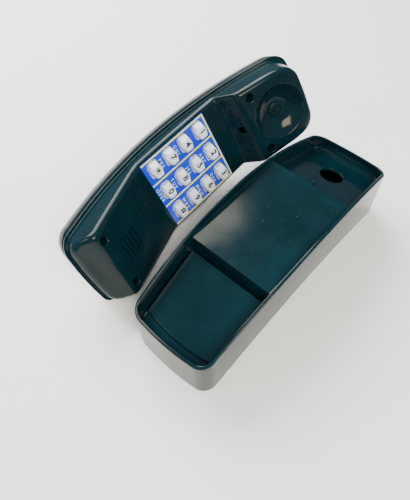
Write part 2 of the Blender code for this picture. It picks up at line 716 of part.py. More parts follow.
def front_posts():
    """Screw towers, carrier posts and the back of the earpiece dish."""
    bodies = []
    for x, y in handset_screw_places():
        bodies.append(column(x, y, TOWER_RADIUS, lambda v, c=y: tower_foot(c),
                             lambda v: face(v) - 0.0010, 20))
    for x, y in carrier_screw_places():
        bodies.append(column(x, y, CARRIER_POST_RADIUS, lambda v: CARRIER_TOP + GAP,
                             lambda v: face(v) - 0.0010))
    bodies.append(moved(turned([(0.0080, -CUP_DEPTH - CUP_WALL),
                                (0.0125, -CUP_DEPTH - CUP_WALL + 0.0010),
                                (0.0175, -CUP_DEPTH - CUP_WALL + 0.0034),
                                (CUP_RADIUS + 0.0014, -0.0030),
                                (CUP_RADIUS + 0.0014, -0.0010)], 40), ear_frame()))
    return bodies


def cup_rings():
    """The raised disc and boss in the middle of the earpiece dish."""
    disc = turned([(CUP_DISC_RADIUS, -CUP_DEPTH - 0.0008), (CUP_DISC_RADIUS, -CUP_DEPTH + 0.0012),
                   (CUP_DISC_RADIUS - 0.0008, -CUP_DEPTH + 0.0016),
                   (CUP_BOSS_RADIUS, -CUP_DEPTH + 0.0016),
                   (CUP_BOSS_RADIUS, -CUP_DEPTH + 0.0024)], 32)
    return moved(disc, ear_frame())


def grille_slots():
    """Slots across the mouthpiece face, longest in the middle."""
    bodies = []
    tilt = Matrix.Rotation(-math.atan(MOUTH_SLOPE), 4, "X")
    for i in range(SLOT_COUNT):
        step = i - (SLOT_COUNT - 1) / 2
        y = MOUTH_RIDGE + SLOTS_FROM_RIDGE + step * SLOT_PITCH
        half = SLOT_LENGTH / 2 * math.sqrt(1 - (step / (SLOT_COUNT - 0.6)) ** 2)
        slot = box((-half, -SLOT_WIDTH / 2, -0.006), (half, SLOT_WIDTH / 2, 0.003))
        bodies.append(moved(slot, Matrix.Translation((0.0, y, face(y))) @ tilt))
    return bodies


def hook_opening(width, height, depth):
    """A box sunk into the middle of the neck wall."""
    y = (NECK_FOOT + NECK_TOP) / 2
    lean = math.atan2(EAR_STEP_HEIGHT, NECK_RUN)
    place = Matrix.Translation((0.0, y, EAR_STEP_HEIGHT / 2)) @ Matrix.Rotation(lean, 4, "X")
    return moved(box((-width / 2, -height / 2, -depth), (width / 2, height / 2, 0.004)), place)


def front_bores():
    """Clearance bores of the towers and pilot holes of the carrier posts."""
    bore = SCREW_SHANK_RADIUS + SCREW_BORE_CLEARANCE
    bodies = []
    for x, y in handset_screw_places():
        bodies.append(column(x, y, bore, lambda v, c=y: tower_foot(c) - 0.001,
                             lambda v, c=y: tower_foot(c) + 0.005, 12))
    for x, y in carrier_screw_places():
        bodies.append(column(x, y, bore, lambda v: CARRIER_TOP - 0.001,
                             lambda v: CARRIER_TOP + 0.0048, 12))
    return bodies


def front_counterbores():
    """The wide upper part of each tower, where a screw head goes down."""
    radius = SCREW_HEAD_RADIUS + SCREW_BORE_CLEARANCE
    return [column(x, y, radius, lambda v, c=y: tower_foot(c) + HEAD_SEAT,
                   lambda v, c=y: face(c) + 0.006, 20) for x, y in handset_screw_places()]


def build_back_shell(material, frame):
    """The handset's convex back, with a post for each long screw."""
    plan = handset_plan()
    wall, deep = HANDSET_WALL, -BACK_DEPTH
    shell = ladder([
        *[plan.ring(inset, above_parting(deep + lift)) for inset, lift in BACK_ROUNDING],
        plan.ring(0.0, above_parting(-GAP - 1.6 * PARTING_GROOVE)),
        plan.ring(PARTING_GROOVE, above_parting(-GAP - PARTING_GROOVE)),
        plan.ring(PARTING_GROOVE, above_parting(-GAP)),
        plan.ring(wall, above_parting(-GAP)),
        plan.ring(wall, above_parting(deep + 0.0130)),
        plan.ring(0.0024 + wall, above_parting(deep + 0.0038 + wall)),
        plan.ring(0.0105, above_parting(deep + wall)),
    ])
    back = add_object("handset_back_shell", shell, material, frame)
    bore = SCREW_SHANK_RADIUS + SCREW_BORE_CLEARANCE
    posts, pilots = [], []
    for x, y in handset_screw_places():
        level = tower_foot(y) - GAP
        posts.append(column(x, y, BACK_POST_RADIUS, lambda v: parting(v) + deep + 0.0012,
                            lambda v, z=level: z))
        pilots.append(column(x, y, bore, lambda v, z=level: z - HANDSET_SCREW_LENGTH,
                             lambda v, z=level: z + 0.001, 12))
    join(back, "back_posts", merge(posts))
    cut(back, "back_pilots", merge(pilots))
    return back


def build_label(material, frame):
    """The printed keypad sheet, with a window for each key."""
    half_x, half_y = LABEL_WIDTH / 2, LABEL_LENGTH / 2
    sheet = box((-half_x, -half_y, -LABEL_THICKNESS), (half_x, half_y, 0.0))
    label = add_object("keypad_label", sheet, material, frame, smooth=False)
    cut(label, "label_windows", key_windows(-0.005, 0.005))
    return label


def key_body():
    """One key: flange, straight skirt and a cap that narrows upwards."""
    half_x, half_y = KEY_WIDTH_X / 2, KEY_WIDTH_Y / 2
    grow_x, grow_y = KEY_END_CLEARANCE + KEY_FLANGE, KEY_CLEARANCE + KEY_FLANGE
    return loft([
        barrel(half_x + grow_x, half_y + grow_y, FLANGE_BOTTOM),
        barrel(half_x + grow_x, half_y + grow_y, FLANGE_TOP),
        barrel(half_x, half_y, FLANGE_TOP),
        barrel(half_x, half_y, KEY_HEIGHT * 0.35),
        barrel(half_x - 0.0012, half_y - 0.0008, KEY_HEIGHT - 0.0008),
        barrel(half_x - 0.0022, half_y - 0.0016, KEY_HEIGHT),
    ])


def build_keys(material, frame):
    """Twelve keys, each with its origin on its own sliding axis."""
    shape = key_body()
    for name, x, y in key_places():
        key = add_object(f"key_{name}", shape, material, frame)
        key.location = (x, y, 0.0)


def build_return_mat(material, frame):
    """The soft mat behind the keys, with a dome under each key."""
    half_x, half_y = LABEL_WIDTH / 2 - 0.0022, LABEL_LENGTH / 2 - 0.0004
    mat = add_object("key_return_mat", box((-half_x, -half_y, MAT_TOP - MAT_THICKNESS),
                                           (half_x, half_y, MAT_TOP)), material, frame)
    dome = turned([(DOME_RADIUS, MAT_TOP - 0.0003), (DOME_RADIUS * 0.86, MAT_TOP + DOME_HEIGHT * 0.6),
                   (DOME_RADIUS * 0.5, DOME_TOP)], 8)
    domes = [moved(dome, Matrix.Translation((x, y, 0.0))) for _, x, y in key_places()]
    join(mat, "mat_domes", merge(domes))
    return mat


def build_carrier(material, frame):
    """The plate that holds the mat and the keys up against the front shell."""
    half_x, half_y = LABEL_WIDTH / 2 - 0.0018, LABEL_LENGTH / 2 + CARRIER_END
    plate = box((-half_x, -half_y, CARRIER_BOTTOM), (half_x, half_y, CARRIER_TOP))
    carrier = add_object("key_carrier_plate", plate, material, frame)
    bores = [column(x, y, SCREW_SHANK_RADIUS + SCREW_BORE_CLEARANCE, lambda v: CARRIER_BOTTOM - 0.001,
                    lambda v: CARRIER_TOP + 0.001, 12) for x, y in carrier_screw_places()]
    cut(carrier, "carrier_bores", merge(bores))
    return carrier


def build_handset_screws(material, frame):
    """Four long screws down the towers and four small ones behind the carrier."""
    for number, (x, y) in enumerate(handset_screw_places(), start=1):
        item = add_object(f"handset_screw_{number}", screw(HANDSET_SCREW_LENGTH), material, frame)
        item.location = (x, y, tower_foot(y) + HEAD_SEAT + GAP)
    for number, (x, y) in enumerate(carrier_screw_places(), start=1):
        item = add_object(f"carrier_screw_{number}", screw(CARRIER_SCREW_LENGTH), material, frame)
        item.rotation_euler = (math.pi, 0.0, 0.0)
        item.location = (x, y, CARRIER_BOTTOM - GAP)


def empty(name, matrix):
    """An empty that carries one assembly."""
    frame = bpy.data.objects.new(name, None)
    bpy.context.scene.collection.objects.link(frame)
    frame.matrix_world = matrix
    return frame


def leaning_frame():
    """The empty that lays the handset down on its side, against the base."""
    turn = (Matrix.Rotation(LEAN_YAW, 4, "Z") @ Matrix.Rotation(LEAN_PITCH, 4, "X")
            @ Matrix.Rotation(LEAN, 4, "Y"))
    plan = handset_plan()
    back = [turn @ Vector(p) for inset, lift in BACK_ROUNDING
            for side in plan.ring(inset, above_parting(lift - BACK_DEPTH)) for p in side]
    height = GAP - min(p.z for p in back)
    front = [turn @ Vector(p) for inset, drop in FACE_REACH
             for side in plan.ring(inset, lambda y, d=drop: face(y) - d) for p in side]
    outline = base_plan()
    room = min(-outline.half_width(p.y + LEAN_SHIFT) - p.x for p in front)
    return empty("handset_frame", Matrix.Translation((room - LEAN_GAP, LEAN_SHIFT, height)) @ turn)


def centre_on_floor(frames):
    """Move both assemblies so that the origin is below the middle of the whole."""
    graph = bpy.context.evaluated_depsgraph_get()
    corners = []
    for item in bpy.data.objects:
        if item.type == "MESH" and not item.hide_render:
            mesh = item.evaluated_get(graph).to_mesh()
            corners += [item.matrix_world @ v.co for v in mesh.vertices]
    low = Vector(min(c[i] for c in corners) for i in range(3))
    high = Vector(max(c[i] for c in corners) for i in range(3))
    for frame in frames:
        frame.location -= Vector(((low.x + high.x) / 2, (low.y + high.y) / 2, low.z))


def main():
    """Build the whole telephone."""
    clear_scene()
    green = plastic("green_plastic", (0.018, 0.062, 0.068), 0.28)
    deep_green = plastic("deep_green_plastic", (0.016, 0.055, 0.061), 0.30)
    white = plastic("white_plastic", (0.78, 0.79, 0.80), 0.35)
    blue = plastic("printed_label", (0.02, 0.10, 0.75), 0.40)
    rubber = plastic("grey_rubber", (0.22, 0.22, 0.22), 0.75)
    natural = plastic("natural_plastic", (0.55, 0.55, 0.52), 0.45)
    steel = plastic("plated_steel", (0.62, 0.62, 0.60), 0.30, metallic=1.0)
    base = empty("base_frame", Matrix.Identity(4))
    build_base_tray(green, base)
    build_back_plate(deep_green, base)
    build_base_screws(steel, base)
    frame = leaning_frame()
    build_front_shell(green, frame)
    build_back_shell(deep_green, frame)
    build_label(blue, frame)
    build_keys(white, frame)
    build_return_mat(rubber, frame)
    build_carrier(natural, frame)
    build_handset_screws(steel, frame)
    centre_on_floor((base, frame))


main()
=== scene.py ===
"""Toy telephone: the finished look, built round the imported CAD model.

A moulded cradle base stands on the floor with the handset lying on its side next
to it.  Each piece is made in the frame of the assembly that it belongs to and then
rides on that assembly's CAD body.  All sizes are in metres.
"""

import logging
import math
from collections.abc import Callable, Iterable, Sequence
from dataclasses import dataclass, field
from enum import Enum

import bmesh
import bpy
import numpy as np
from mathutils import Matrix, Vector


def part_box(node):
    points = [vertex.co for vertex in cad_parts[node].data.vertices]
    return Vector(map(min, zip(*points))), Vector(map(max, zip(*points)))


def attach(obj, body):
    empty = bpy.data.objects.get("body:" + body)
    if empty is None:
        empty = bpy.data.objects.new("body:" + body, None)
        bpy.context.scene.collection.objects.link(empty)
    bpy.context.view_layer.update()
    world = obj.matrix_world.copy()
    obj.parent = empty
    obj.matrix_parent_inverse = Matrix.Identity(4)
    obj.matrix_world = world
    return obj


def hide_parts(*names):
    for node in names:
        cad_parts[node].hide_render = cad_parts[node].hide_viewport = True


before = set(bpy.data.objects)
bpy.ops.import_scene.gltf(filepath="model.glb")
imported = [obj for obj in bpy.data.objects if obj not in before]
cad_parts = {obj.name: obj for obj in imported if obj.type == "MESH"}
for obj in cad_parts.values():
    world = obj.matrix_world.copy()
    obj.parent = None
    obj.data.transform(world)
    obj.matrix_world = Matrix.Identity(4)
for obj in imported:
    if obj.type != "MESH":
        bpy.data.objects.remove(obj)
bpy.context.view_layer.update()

log = logging.getLogger("toy_telephone")

Height = Callable[[float], float]
Ring = list[tuple[float, float, float]]
Rungs = tuple[Ring, Ring]
MM = 0.001


class Slot(Enum):
    """Names of the record's material slots; no piece in this script is given one."""

    GREEN = "green_plastic"
    DEEP_GREEN = "deep_green_plastic"
    WHITE = "white_plastic"
    LABEL = "printed_label"
    STEEL = "plated_steel"


class Carve(Enum):
    """How a tool shape works on a piece."""

    CUT = "DIFFERENCE"
    JOIN = "UNION"


# ------------------------------------------------------------------ mesh bench
@dataclass
class Shape:
    """A closed body, or several that don't touch, as corners and faces."""

    corners: list[Vector]
    faces: list[list[int]]

    def placed(self, place: Matrix) -> "Shape":
        """The same shape after a move or a turn."""
        return Shape([place @ Vector(c) for c in self.corners], [list(f) for f in self.faces])

    @staticmethod
    def together(shapes: Iterable["Shape"]) -> "Shape":
        """Several shapes in one, each still a body of its own."""
        corners: list[Vector] = []
        faces: list[list[int]] = []
        for shape in shapes:
            start = len(corners)
            corners += [Vector(c) for c in shape.corners]
            faces += [[start + i for i in f] for f in shape.faces]
        return Shape(corners, faces)


def loft(rings: Sequence[Ring]) -> Shape:
    """Skin a row of rings and close both ends.

    Args:
        rings: rings of equally many points, from one end of the body to the other.

    Returns:
        The closed body.
    """
    count = len(rings[0])
    corners = [Vector(p) for ring in rings for p in ring]
    faces: list[list[int]] = []
    for level in range(len(rings) - 1):
        low, high = level * count, (level + 1) * count
        for i in range(count):
            j = (i + 1) % count
            faces.append([low + i, low + j, high + j, high + i])
    last = (len(rings) - 1) * count
    faces.append(list(range(count))[::-1])
    faces.append([last + i for i in range(count)])
    return Shape(corners, faces)


def ladder(rings: Sequence[Rungs]) -> Shape:
    """Skin long plan rings; the two end caps are rungs from side to side.

    Args:
        rings: pairs of right-hand and left-hand points, equally many in each.

    Returns:
        The closed body.
    """
    count = len(rings[0][0])
    corners = [Vector(p) for right, left in rings for p in right + left]
    faces: list[list[int]] = []
    for level in range(len(rings) - 1):
        a, b = level * 2 * count, (level + 1) * 2 * count
        for i in range(count - 1):
            faces.append([a + i, a + i + 1, b + i + 1, b + i])
            faces.append([a + count + i + 1, a + count + i, b + count + i, b + count + i + 1])
        faces.append([a + count, a, b, b + count])
        faces.append([a + count - 1, a + 2 * count - 1, b + 2 * count - 1, b + count - 1])
    for level, flip in ((0, False), (len(rings) - 1, True)):
        a = level * 2 * count
        for i in range(count - 1):
            face = [a + i, a + count + i, a + count + i + 1, a + i + 1]
            faces.append(face[::-1] if flip else face)
    return Shape(corners, faces)


def circle(radius: float, height: float, count: int = 48) -> Ring:
    """A level ring of points round the Z axis."""
    turns = (2 * math.pi * i / count for i in range(count))
    return [(radius * math.cos(a), radius * math.sin(a), height) for a in turns]


def turned(profile: Sequence[tuple[float, float]], count: int = 48) -> Shape:
    """Turn (radius, height) points about Z, as on a lathe."""
    return loft([circle(radius, height, count) for radius, height in profile])


def squircle(half_x: float, half_y: float, height: float, power: float, count: int = 36) -> Ring:
    """A level ring that is squarer than an ellipse.

    Args:
        half_x: half of its size along X.
        half_y: half of its size along Y.
        height: its level.
        power: 2 for an ellipse, more for squarer corners.
        count: how many points it has.

    Returns:
        The points.
    """
    ring: Ring = []
    for i in range(count):
        a = 2 * math.pi * (i + 0.5) / count
        c, s = math.cos(a), math.sin(a)
        x = math.copysign(abs(c) ** (2 / power), c) * half_x
        y = math.copysign(abs(s) ** (2 / power), s) * half_y
        ring.append((x, y, height))
    return ring


def column(x: float, y: float, radius: float, bottom: Height, top: Height,
           count: int = 28) -> Shape:
    """A round post whose two ends follow heights that vary with y."""
    foot = circle(radius, 0.0, count)
    return loft([[(x + px, y + py, bottom(y + py)) for px, py, _ in foot],
                 [(x + px, y + py, top(y + py)) for px, py, _ in foot]])


def soft_box(low: Sequence[float], high: Sequence[float], edge: float) -> Shape:
    """A block with rounded upright corners and a small bevel above and below.

    Args:
        low: its lowest corner.
        high: its highest corner.
        edge: how far the corners are rounded.

    Returns:
        The closed body.
    """
    middle = Vector(((low[0] + high[0]) / 2, (low[1] + high[1]) / 2, 0.0))
    half_x, half_y = (high[0] - low[0]) / 2, (high[1] - low[1]) / 2
    rings = []
    for inset, z in ((edge * 0.4, low[2]), (0.0, low[2] + edge * 0.4),
                     (0.0, high[2] - edge * 0.4), (edge * 0.4, high[2])):
        ring: Ring = []
        for sx, sy, start in ((1, 1, 0), (-1, 1, 90), (-1, -1, 180), (1, -1, 270)):
            for step in range(4):
                a = math.radians(start + 30 * step)
                ring.append((middle.x + sx * (half_x - inset - edge) + edge * math.cos(a),
                             middle.y + sy * (half_y - inset - edge) + edge * math.sin(a), z))
        rings.append(ring)
    return loft(rings)


def stadium(length: float, width: float, low: float, high: float) -> Shape:
    """A slot with round ends along X, between two levels."""
    rings = []
    for z in (low, high):
        ring: Ring = []
        for side, start in ((1, -90), (-1, 90)):
            for step in range(9):
                a = math.radians(start + 22.5 * step)
                ring.append((side * (length - width) / 2 + width / 2 * math.cos(a),
                             width / 2 * math.sin(a), z))
        rings.append(ring)
    return loft(rings)


def profile(knots: Sequence[tuple[float, float]],
            eases: Sequence[tuple[float, float]]) -> Height:
    """A height that runs through (y, z) knots, with its bends rounded.

    Args:
        knots: the points, in order of y.
        eases: (y, how far a bend is rounded there), in order of y.

    Returns:
        The height as a function of y.
    """
    ys, zs = zip(*knots)
    ease_ys, amounts = zip(*eases)
    taps = np.linspace(-1.0, 1.0, 13)

    def height(y: float) -> float:
        """The eased height at y."""
        spread = np.interp(y, ease_ys, amounts)
        return float(np.mean(np.interp(y + taps * spread, ys, zs)))

    return height


def to_mesh(name: str, shape: Shape) -> bpy.types.Mesh:
    """A Blender mesh with its faces turned outwards."""
    mesh = bpy.data.meshes.new(name)
    mesh.from_pydata([tuple(c) for c in shape.corners], [], shape.faces)
    bench = bmesh.new()
    bench.from_mesh(mesh)
    bmesh.ops.recalc_face_normals(bench, faces=bench.faces)
    bench.to_mesh(mesh)
    bench.free()
    return mesh


def link(name: str, data: bpy.types.ID) -> bpy.types.Object:
    """Put new object data into the scene."""
    item = bpy.data.objects.new(name, data)
    bpy.context.scene.collection.objects.link(item)
    return item


def carve(piece: bpy.types.Object, tool: Shape, mode: Carve) -> None:
    """Cut a tool out of a piece or join it on, at once.

    Args:
        piece: the piece that is worked on.
        tool: bodies that don't touch each other.
        mode: cut or join.
    """
    cutter = link("tool", to_mesh("tool", tool))
    step = piece.modifiers.new("carve", "BOOLEAN")
    step.operation = mode.value
    step.object = cutter
    step.solver = "EXACT"
    bpy.context.view_layer.update()
    graph = bpy.context.evaluated_depsgraph_get()
    result = bpy.data.meshes.new_from_object(piece.evaluated_get(graph))
    piece.modifiers.clear()
    before, piece.data = piece.data, result
    bpy.data.meshes.remove(before)
    bpy.data.objects.remove(cutter, do_unlink=True)


def finish_piece(piece: bpy.types.Object, finish: bpy.types.Material, place: Matrix,
                 sharp_degrees: float = 38.0) -> bpy.types.Object:
    """Clean a piece's mesh, smooth it, give it its finish and put it in place.

    Args:
        piece: the finished mesh, still in the frame of its own assembly.
        finish: the material.
        place: the assembly's place in the row frame.
        sharp_degrees: edges sharper than this stay crisp.

    Returns:
        The piece.
    """
    mesh = piece.data
    bench = bmesh.new()
    bench.from_mesh(mesh)
    bmesh.ops.remove_doubles(bench, verts=bench.verts, dist=0.002 * MM)
    bench.to_mesh(mesh)
    bench.free()
    mesh.transform(place)
    mesh.materials.clear()
    mesh.materials.append(finish)
    mesh.shade_smooth()
    mesh.set_sharp_from_angle(angle=math.radians(sharp_degrees))
    even = piece.modifiers.new("even_normals", "WEIGHTED_NORMAL")
    even.keep_sharp = True
    return piece


# ------------------------------------------------------------------ finishes
def linear(hex_colour: str) -> tuple[float, float, float, float]:
    """An sRGB hex colour as linear red, green, blue and a full alpha."""
    parts = [int(hex_colour[i:i + 2], 16) / 255 for i in (1, 3, 5)]
    red, green, blue = (p / 12.92 if p <= 0.04045 else ((p + 0.055) / 1.055) ** 2.4 for p in parts)
    return red, green, blue, 1.0


def per_metre(size_mm: float) -> float:
    """The texture scale at which one cell of a pattern measures size_mm."""
    return 1000.0 / size_mm


def add_node(tree: bpy.types.NodeTree, kind: str, settings: dict | None = None,
             links: dict | None = None) -> bpy.types.Node:
    """Add one node with its settings and its incoming links.

    Args:
        tree: the node tree.
        kind: the node's type name.
        settings: node properties, then values of input sockets, by name or number.
        links: sockets that feed its inputs, by name or number.

    Returns:
        The new node.
    """
    node = tree.nodes.new(kind)
    for key, value in (settings or {}).items():
        if isinstance(key, int) or key in node.inputs:
            node.inputs[key].default_value = value
        else:
            setattr(node, key, value)
    for key, socket in (links or {}).items():
        tree.links.new(socket, node.inputs[key])
    return node


def blank_material(name: str) -> tuple[bpy.types.Material, bpy.types.NodeTree, bpy.types.Node]:
    """A material with an empty tree, and its surface shader already wired to the output."""
    material = bpy.data.materials.new(name)
    material.use_nodes = True
    tree = material.node_tree
    tree.nodes.clear()
    shader = add_node(tree, "ShaderNodeBsdfPrincipled")
    add_node(tree, "ShaderNodeOutputMaterial", links={"Surface": shader.outputs["BSDF"]})
    return material, tree, shader


@dataclass(frozen=True)
class MouldedPlastic:
    """Injection-moulded plastic: even colour, a skin as smooth as its mould, fine handling marks."""

    name: str
    colour: str
    flow_colour: str
    scuff_colour: str
    roughness: float
    ior: float
    flow_mm: float = 38.0         # clouds where the melt ran slower
    peel_mm: float = 2.6          # shallow dimples of the cooled skin
    peel_depth_mm: float = 0.003
    sink_mm: float = 24.0         # slow waves where thick walls shrank
    sink_depth_mm: float = 0.03
    hairline_mm: float = 0.9      # real ones are 0.05 mm, drawn as wide as they show
    speck_mm: float = 5.0         # one fleck of lint in about that distance
    scuffs: float = 0.5           # how worn it is, 0 to 1
    shine: float = 0.18
    sheen_colour: str = "#FFE6C4"  # painted reflection colour: warms every reflection, standing in for the warm floor that the walls mirror

    def make(self) -> bpy.types.Material:
        """Build the material."""
        material, tree, shader = blank_material(self.name)
        here = add_node(tree, "ShaderNodeTexCoord").outputs["Object"]
        flow = add_node(tree, "ShaderNodeTexNoise",
                        {"Scale": per_metre(self.flow_mm), "Detail": 6.0, "Roughness": 0.62},
                        {"Vector": here})
        flow_share = add_node(tree, "ShaderNodeMapRange",
                              {"From Min": 0.35, "From Max": 0.68}, {"Value": flow.outputs[0]})
        body = add_node(tree, "ShaderNodeMix",
                        {"data_type": "RGBA", 6: linear(self.colour), 7: linear(self.flow_colour)},
                        {0: flow_share.outputs[0]})
        # Hairlines: streaky noise in two directions, kept only where a patchy mask allows it.
        patch = add_node(tree, "ShaderNodeTexNoise",
                         {"Scale": per_metre(30.0), "Detail": 2.0}, {"Vector": here})
        patch_share = add_node(tree, "ShaderNodeMapRange",
                               {"From Min": 0.50, "From Max": 0.70, "To Max": self.scuffs},
                               {"Value": patch.outputs[0]})
        streaks = []
        for turn in (0.6, 2.2):
            turned_space = add_node(tree, "ShaderNodeMapping",
                                    {"Rotation": (0.3, turn, turn), "Scale": (1.0, 0.045, 1.0)},
                                    {"Vector": here})
            noise = add_node(tree, "ShaderNodeTexNoise",
                             {"Scale": per_metre(self.hairline_mm), "Detail": 1.0},
                             {"Vector": turned_space.outputs[0]})
            streaks.append(add_node(tree, "ShaderNodeMapRange",
                                    {"From Min": 0.70, "From Max": 0.76},
                                    {"Value": noise.outputs[0]}))
        both = add_node(tree, "ShaderNodeMath", {"operation": "MAXIMUM"},
                        {0: streaks[0].outputs[0], 1: streaks[1].outputs[0]})
        hairlines = add_node(tree, "ShaderNodeMath", {"operation": "MULTIPLY"},
                             {0: both.outputs[0], 1: patch_share.outputs[0]})
        # Lint: small round flecks, one to a cell, only in a few of the cells.
        cells = add_node(tree, "ShaderNodeTexVoronoi", {"Scale": per_metre(self.speck_mm)},
                         {"Vector": here})
        fleck = add_node(tree, "ShaderNodeMapRange",
                         {"From Min": 0.075, "From Max": 0.045}, {"Value": cells.outputs["Distance"]})
        chosen = add_node(tree, "ShaderNodeSeparateColor", links={0: cells.outputs["Color"]})
        rare = add_node(tree, "ShaderNodeMapRange", {"From Min": 0.80, "From Max": 0.88},
                        {"Value": chosen.outputs[0]})
        lint = add_node(tree, "ShaderNodeMath", {"operation": "MULTIPLY"},
                        {0: fleck.outputs[0], 1: rare.outputs[0]})
        marks = add_node(tree, "ShaderNodeMath", {"operation": "MAXIMUM"},
                         {0: hairlines.outputs[0], 1: lint.outputs[0]})
        mark_share = add_node(tree, "ShaderNodeMath",
                              {"operation": "MULTIPLY", 1: 0.35 * self.scuffs + 0.05},
                              {0: marks.outputs[0]})
        coloured = add_node(tree, "ShaderNodeMix",
                            {"data_type": "RGBA", 7: linear(self.scuff_colour)},
                            {0: mark_share.outputs[0], 6: body.outputs[2]})
        tree.links.new(coloured.outputs[2], shader.inputs["Base Color"])
        # Gloss: touched patches are a little duller, and the marks duller still.
        touched = add_node(tree, "ShaderNodeMapRange",
                           {"From Min": 0.40, "From Max": 0.70, "To Min": self.roughness * 0.85,
                            "To Max": self.roughness * 1.35}, {"Value": patch.outputs[0]})
        dulled = add_node(tree, "ShaderNodeMath", {"operation": "MULTIPLY_ADD", 1: 0.25},
                          {0: marks.outputs[0], 2: touched.outputs[0]})
        tree.links.new(dulled.outputs[0], shader.inputs["Roughness"])
        # Relief: slow sink waves under a fine orange peel.
        sink = add_node(tree, "ShaderNodeTexNoise",
                        {"Scale": per_metre(self.sink_mm), "Detail": 1.0}, {"Vector": here})
        sink_bump = add_node(tree, "ShaderNodeBump",
                             {"Strength": 1.0, "Distance": self.sink_depth_mm * MM},
                             {"Height": sink.outputs[0]})
        peel = add_node(tree, "ShaderNodeTexNoise",
                        {"Scale": per_metre(self.peel_mm), "Detail": 2.0}, {"Vector": here})
        peel_bump = add_node(tree, "ShaderNodeBump",
                             {"Strength": 1.0, "Distance": self.peel_depth_mm * MM},
                             {"Height": peel.outputs[0], "Normal": sink_bump.outputs[0]})
        tree.links.new(peel_bump.outputs[0], shader.inputs["Normal"])
        shader.inputs["IOR"].default_value = self.ior
        shader.inputs["Specular IOR Level"].default_value = self.shine
        # Painted reflection colour: the specular tint warms all reflections in place of warm
        # surroundings.
        shader.inputs["Specular Tint"].default_value = linear(self.sheen_colour)
        return material


@dataclass(frozen=True)
class PrintedFilm:
    """Polyester keypad film, screen-printed from behind: deep even ink under a flat clear gloss."""

    name: str
    colour: str
    thin_colour: str
    roughness: float = 0.24
    mesh_mm: float = 0.35         # the screen's mesh, real 0.1 mm, drawn as coarse as it shows
    squeegee_mm: float = 14.0     # where the squeegee left a little less ink

    def make(self) -> bpy.types.Material:
        """Build the material."""
        material, tree, shader = blank_material(self.name)
        here = add_node(tree, "ShaderNodeTexCoord").outputs["Object"]
        drag = add_node(tree, "ShaderNodeTexNoise",
                        {"Scale": per_metre(self.squeegee_mm), "Detail": 3.0}, {"Vector": here})
        share = add_node(tree, "ShaderNodeMapRange",
                         {"From Min": 0.40, "From Max": 0.75, "To Max": 0.8},
                         {"Value": drag.outputs[0]})
        ink = add_node(tree, "ShaderNodeMix",
                       {"data_type": "RGBA", 6: linear(self.colour), 7: linear(self.thin_colour)},
                       {0: share.outputs[0]})
        tree.links.new(ink.outputs[2], shader.inputs["Base Color"])
        grain = add_node(tree, "ShaderNodeTexNoise", {"Scale": per_metre(self.mesh_mm)},
                         {"Vector": here})
        gloss = add_node(tree, "ShaderNodeMapRange",
                         {"To Min": self.roughness * 0.8, "To Max": self.roughness * 1.3},
                         {"Value": grain.outputs[0]})
        tree.links.new(gloss.outputs[0], shader.inputs["Roughness"])
        bump = add_node(tree, "ShaderNodeBump", {"Strength": 0.4, "Distance": 0.006 * MM},
                        {"Height": grain.outputs[0]})
        tree.links.new(bump.outputs[0], shader.inputs["Normal"])
        shader.inputs["IOR"].default_value = 1.55
        return material


@dataclass(frozen=True)
class PlatedSteel:
    """Cold-headed steel screw, bright zinc plate: grey, a little cloudy, with tool marks."""

    name: str
    colour: str
    cloud_colour: str
    roughness: float = 0.30
    cloud_mm: float = 1.6
    tool_mark_mm: float = 0.25

    def make(self) -> bpy.types.Material:
        """Build the material."""
        material, tree, shader = blank_material(self.name)
        here = add_node(tree, "ShaderNodeTexCoord").outputs["Object"]
        cloud = add_node(tree, "ShaderNodeTexNoise",
                         {"Scale": per_metre(self.cloud_mm), "Detail": 3.0}, {"Vector": here})
        tone = add_node(tree, "ShaderNodeMix",
                        {"data_type": "RGBA", 6: linear(self.colour), 7: linear(self.cloud_colour)},
                        {0: cloud.outputs[0]})
        tree.links.new(tone.outputs[2], shader.inputs["Base Color"])
        marks = add_node(tree, "ShaderNodeTexNoise", {"Scale": per_metre(self.tool_mark_mm)},
                         {"Vector": here})
        rough = add_node(tree, "ShaderNodeMapRange",
                         {"To Min": self.roughness * 0.7, "To Max": self.roughness * 1.4},
                         {"Value": marks.outputs[0]})
        tree.links.new(rough.outputs[0], shader.inputs["Roughness"])
        bump = add_node(tree, "ShaderNodeBump", {"Strength": 0.5, "Distance": 0.01 * MM},
                        {"Height": marks.outputs[0]})
        tree.links.new(bump.outputs[0], shader.inputs["Normal"])
        shader.inputs["Metallic"].default_value = 1.0
        return material


@dataclass(frozen=True)
class MattBoard:
    """Painted board under the object: pale, matt, very faintly mottled by the roller."""

    name: str
    colour: str
    mottle_colour: str
    roughness: float = 0.7
    roller_mm: float = 9.0

    def make(self) -> bpy.types.Material:
        """Build the material."""
        material, tree, shader = blank_material(self.name)
        here = add_node(tree, "ShaderNodeTexCoord").outputs["Object"]
        mottle = add_node(tree, "ShaderNodeTexNoise",
                          {"Scale": per_metre(self.roller_mm), "Detail": 4.0}, {"Vector": here})
        tone = add_node(tree, "ShaderNodeMix",
                        {"data_type": "RGBA", 6: linear(self.colour), 7: linear(self.mottle_colour)},
                        {0: mottle.outputs[0]})
        tree.links.new(tone.outputs[2], shader.inputs["Base Color"])
        bump = add_node(tree, "ShaderNodeBump", {"Strength": 0.3, "Distance": 0.05 * MM},
                        {"Height": mottle.outputs[0]})
        tree.links.new(bump.outputs[0], shader.inputs["Normal"])
        shader.inputs["Roughness"].default_value = self.roughness
        return material


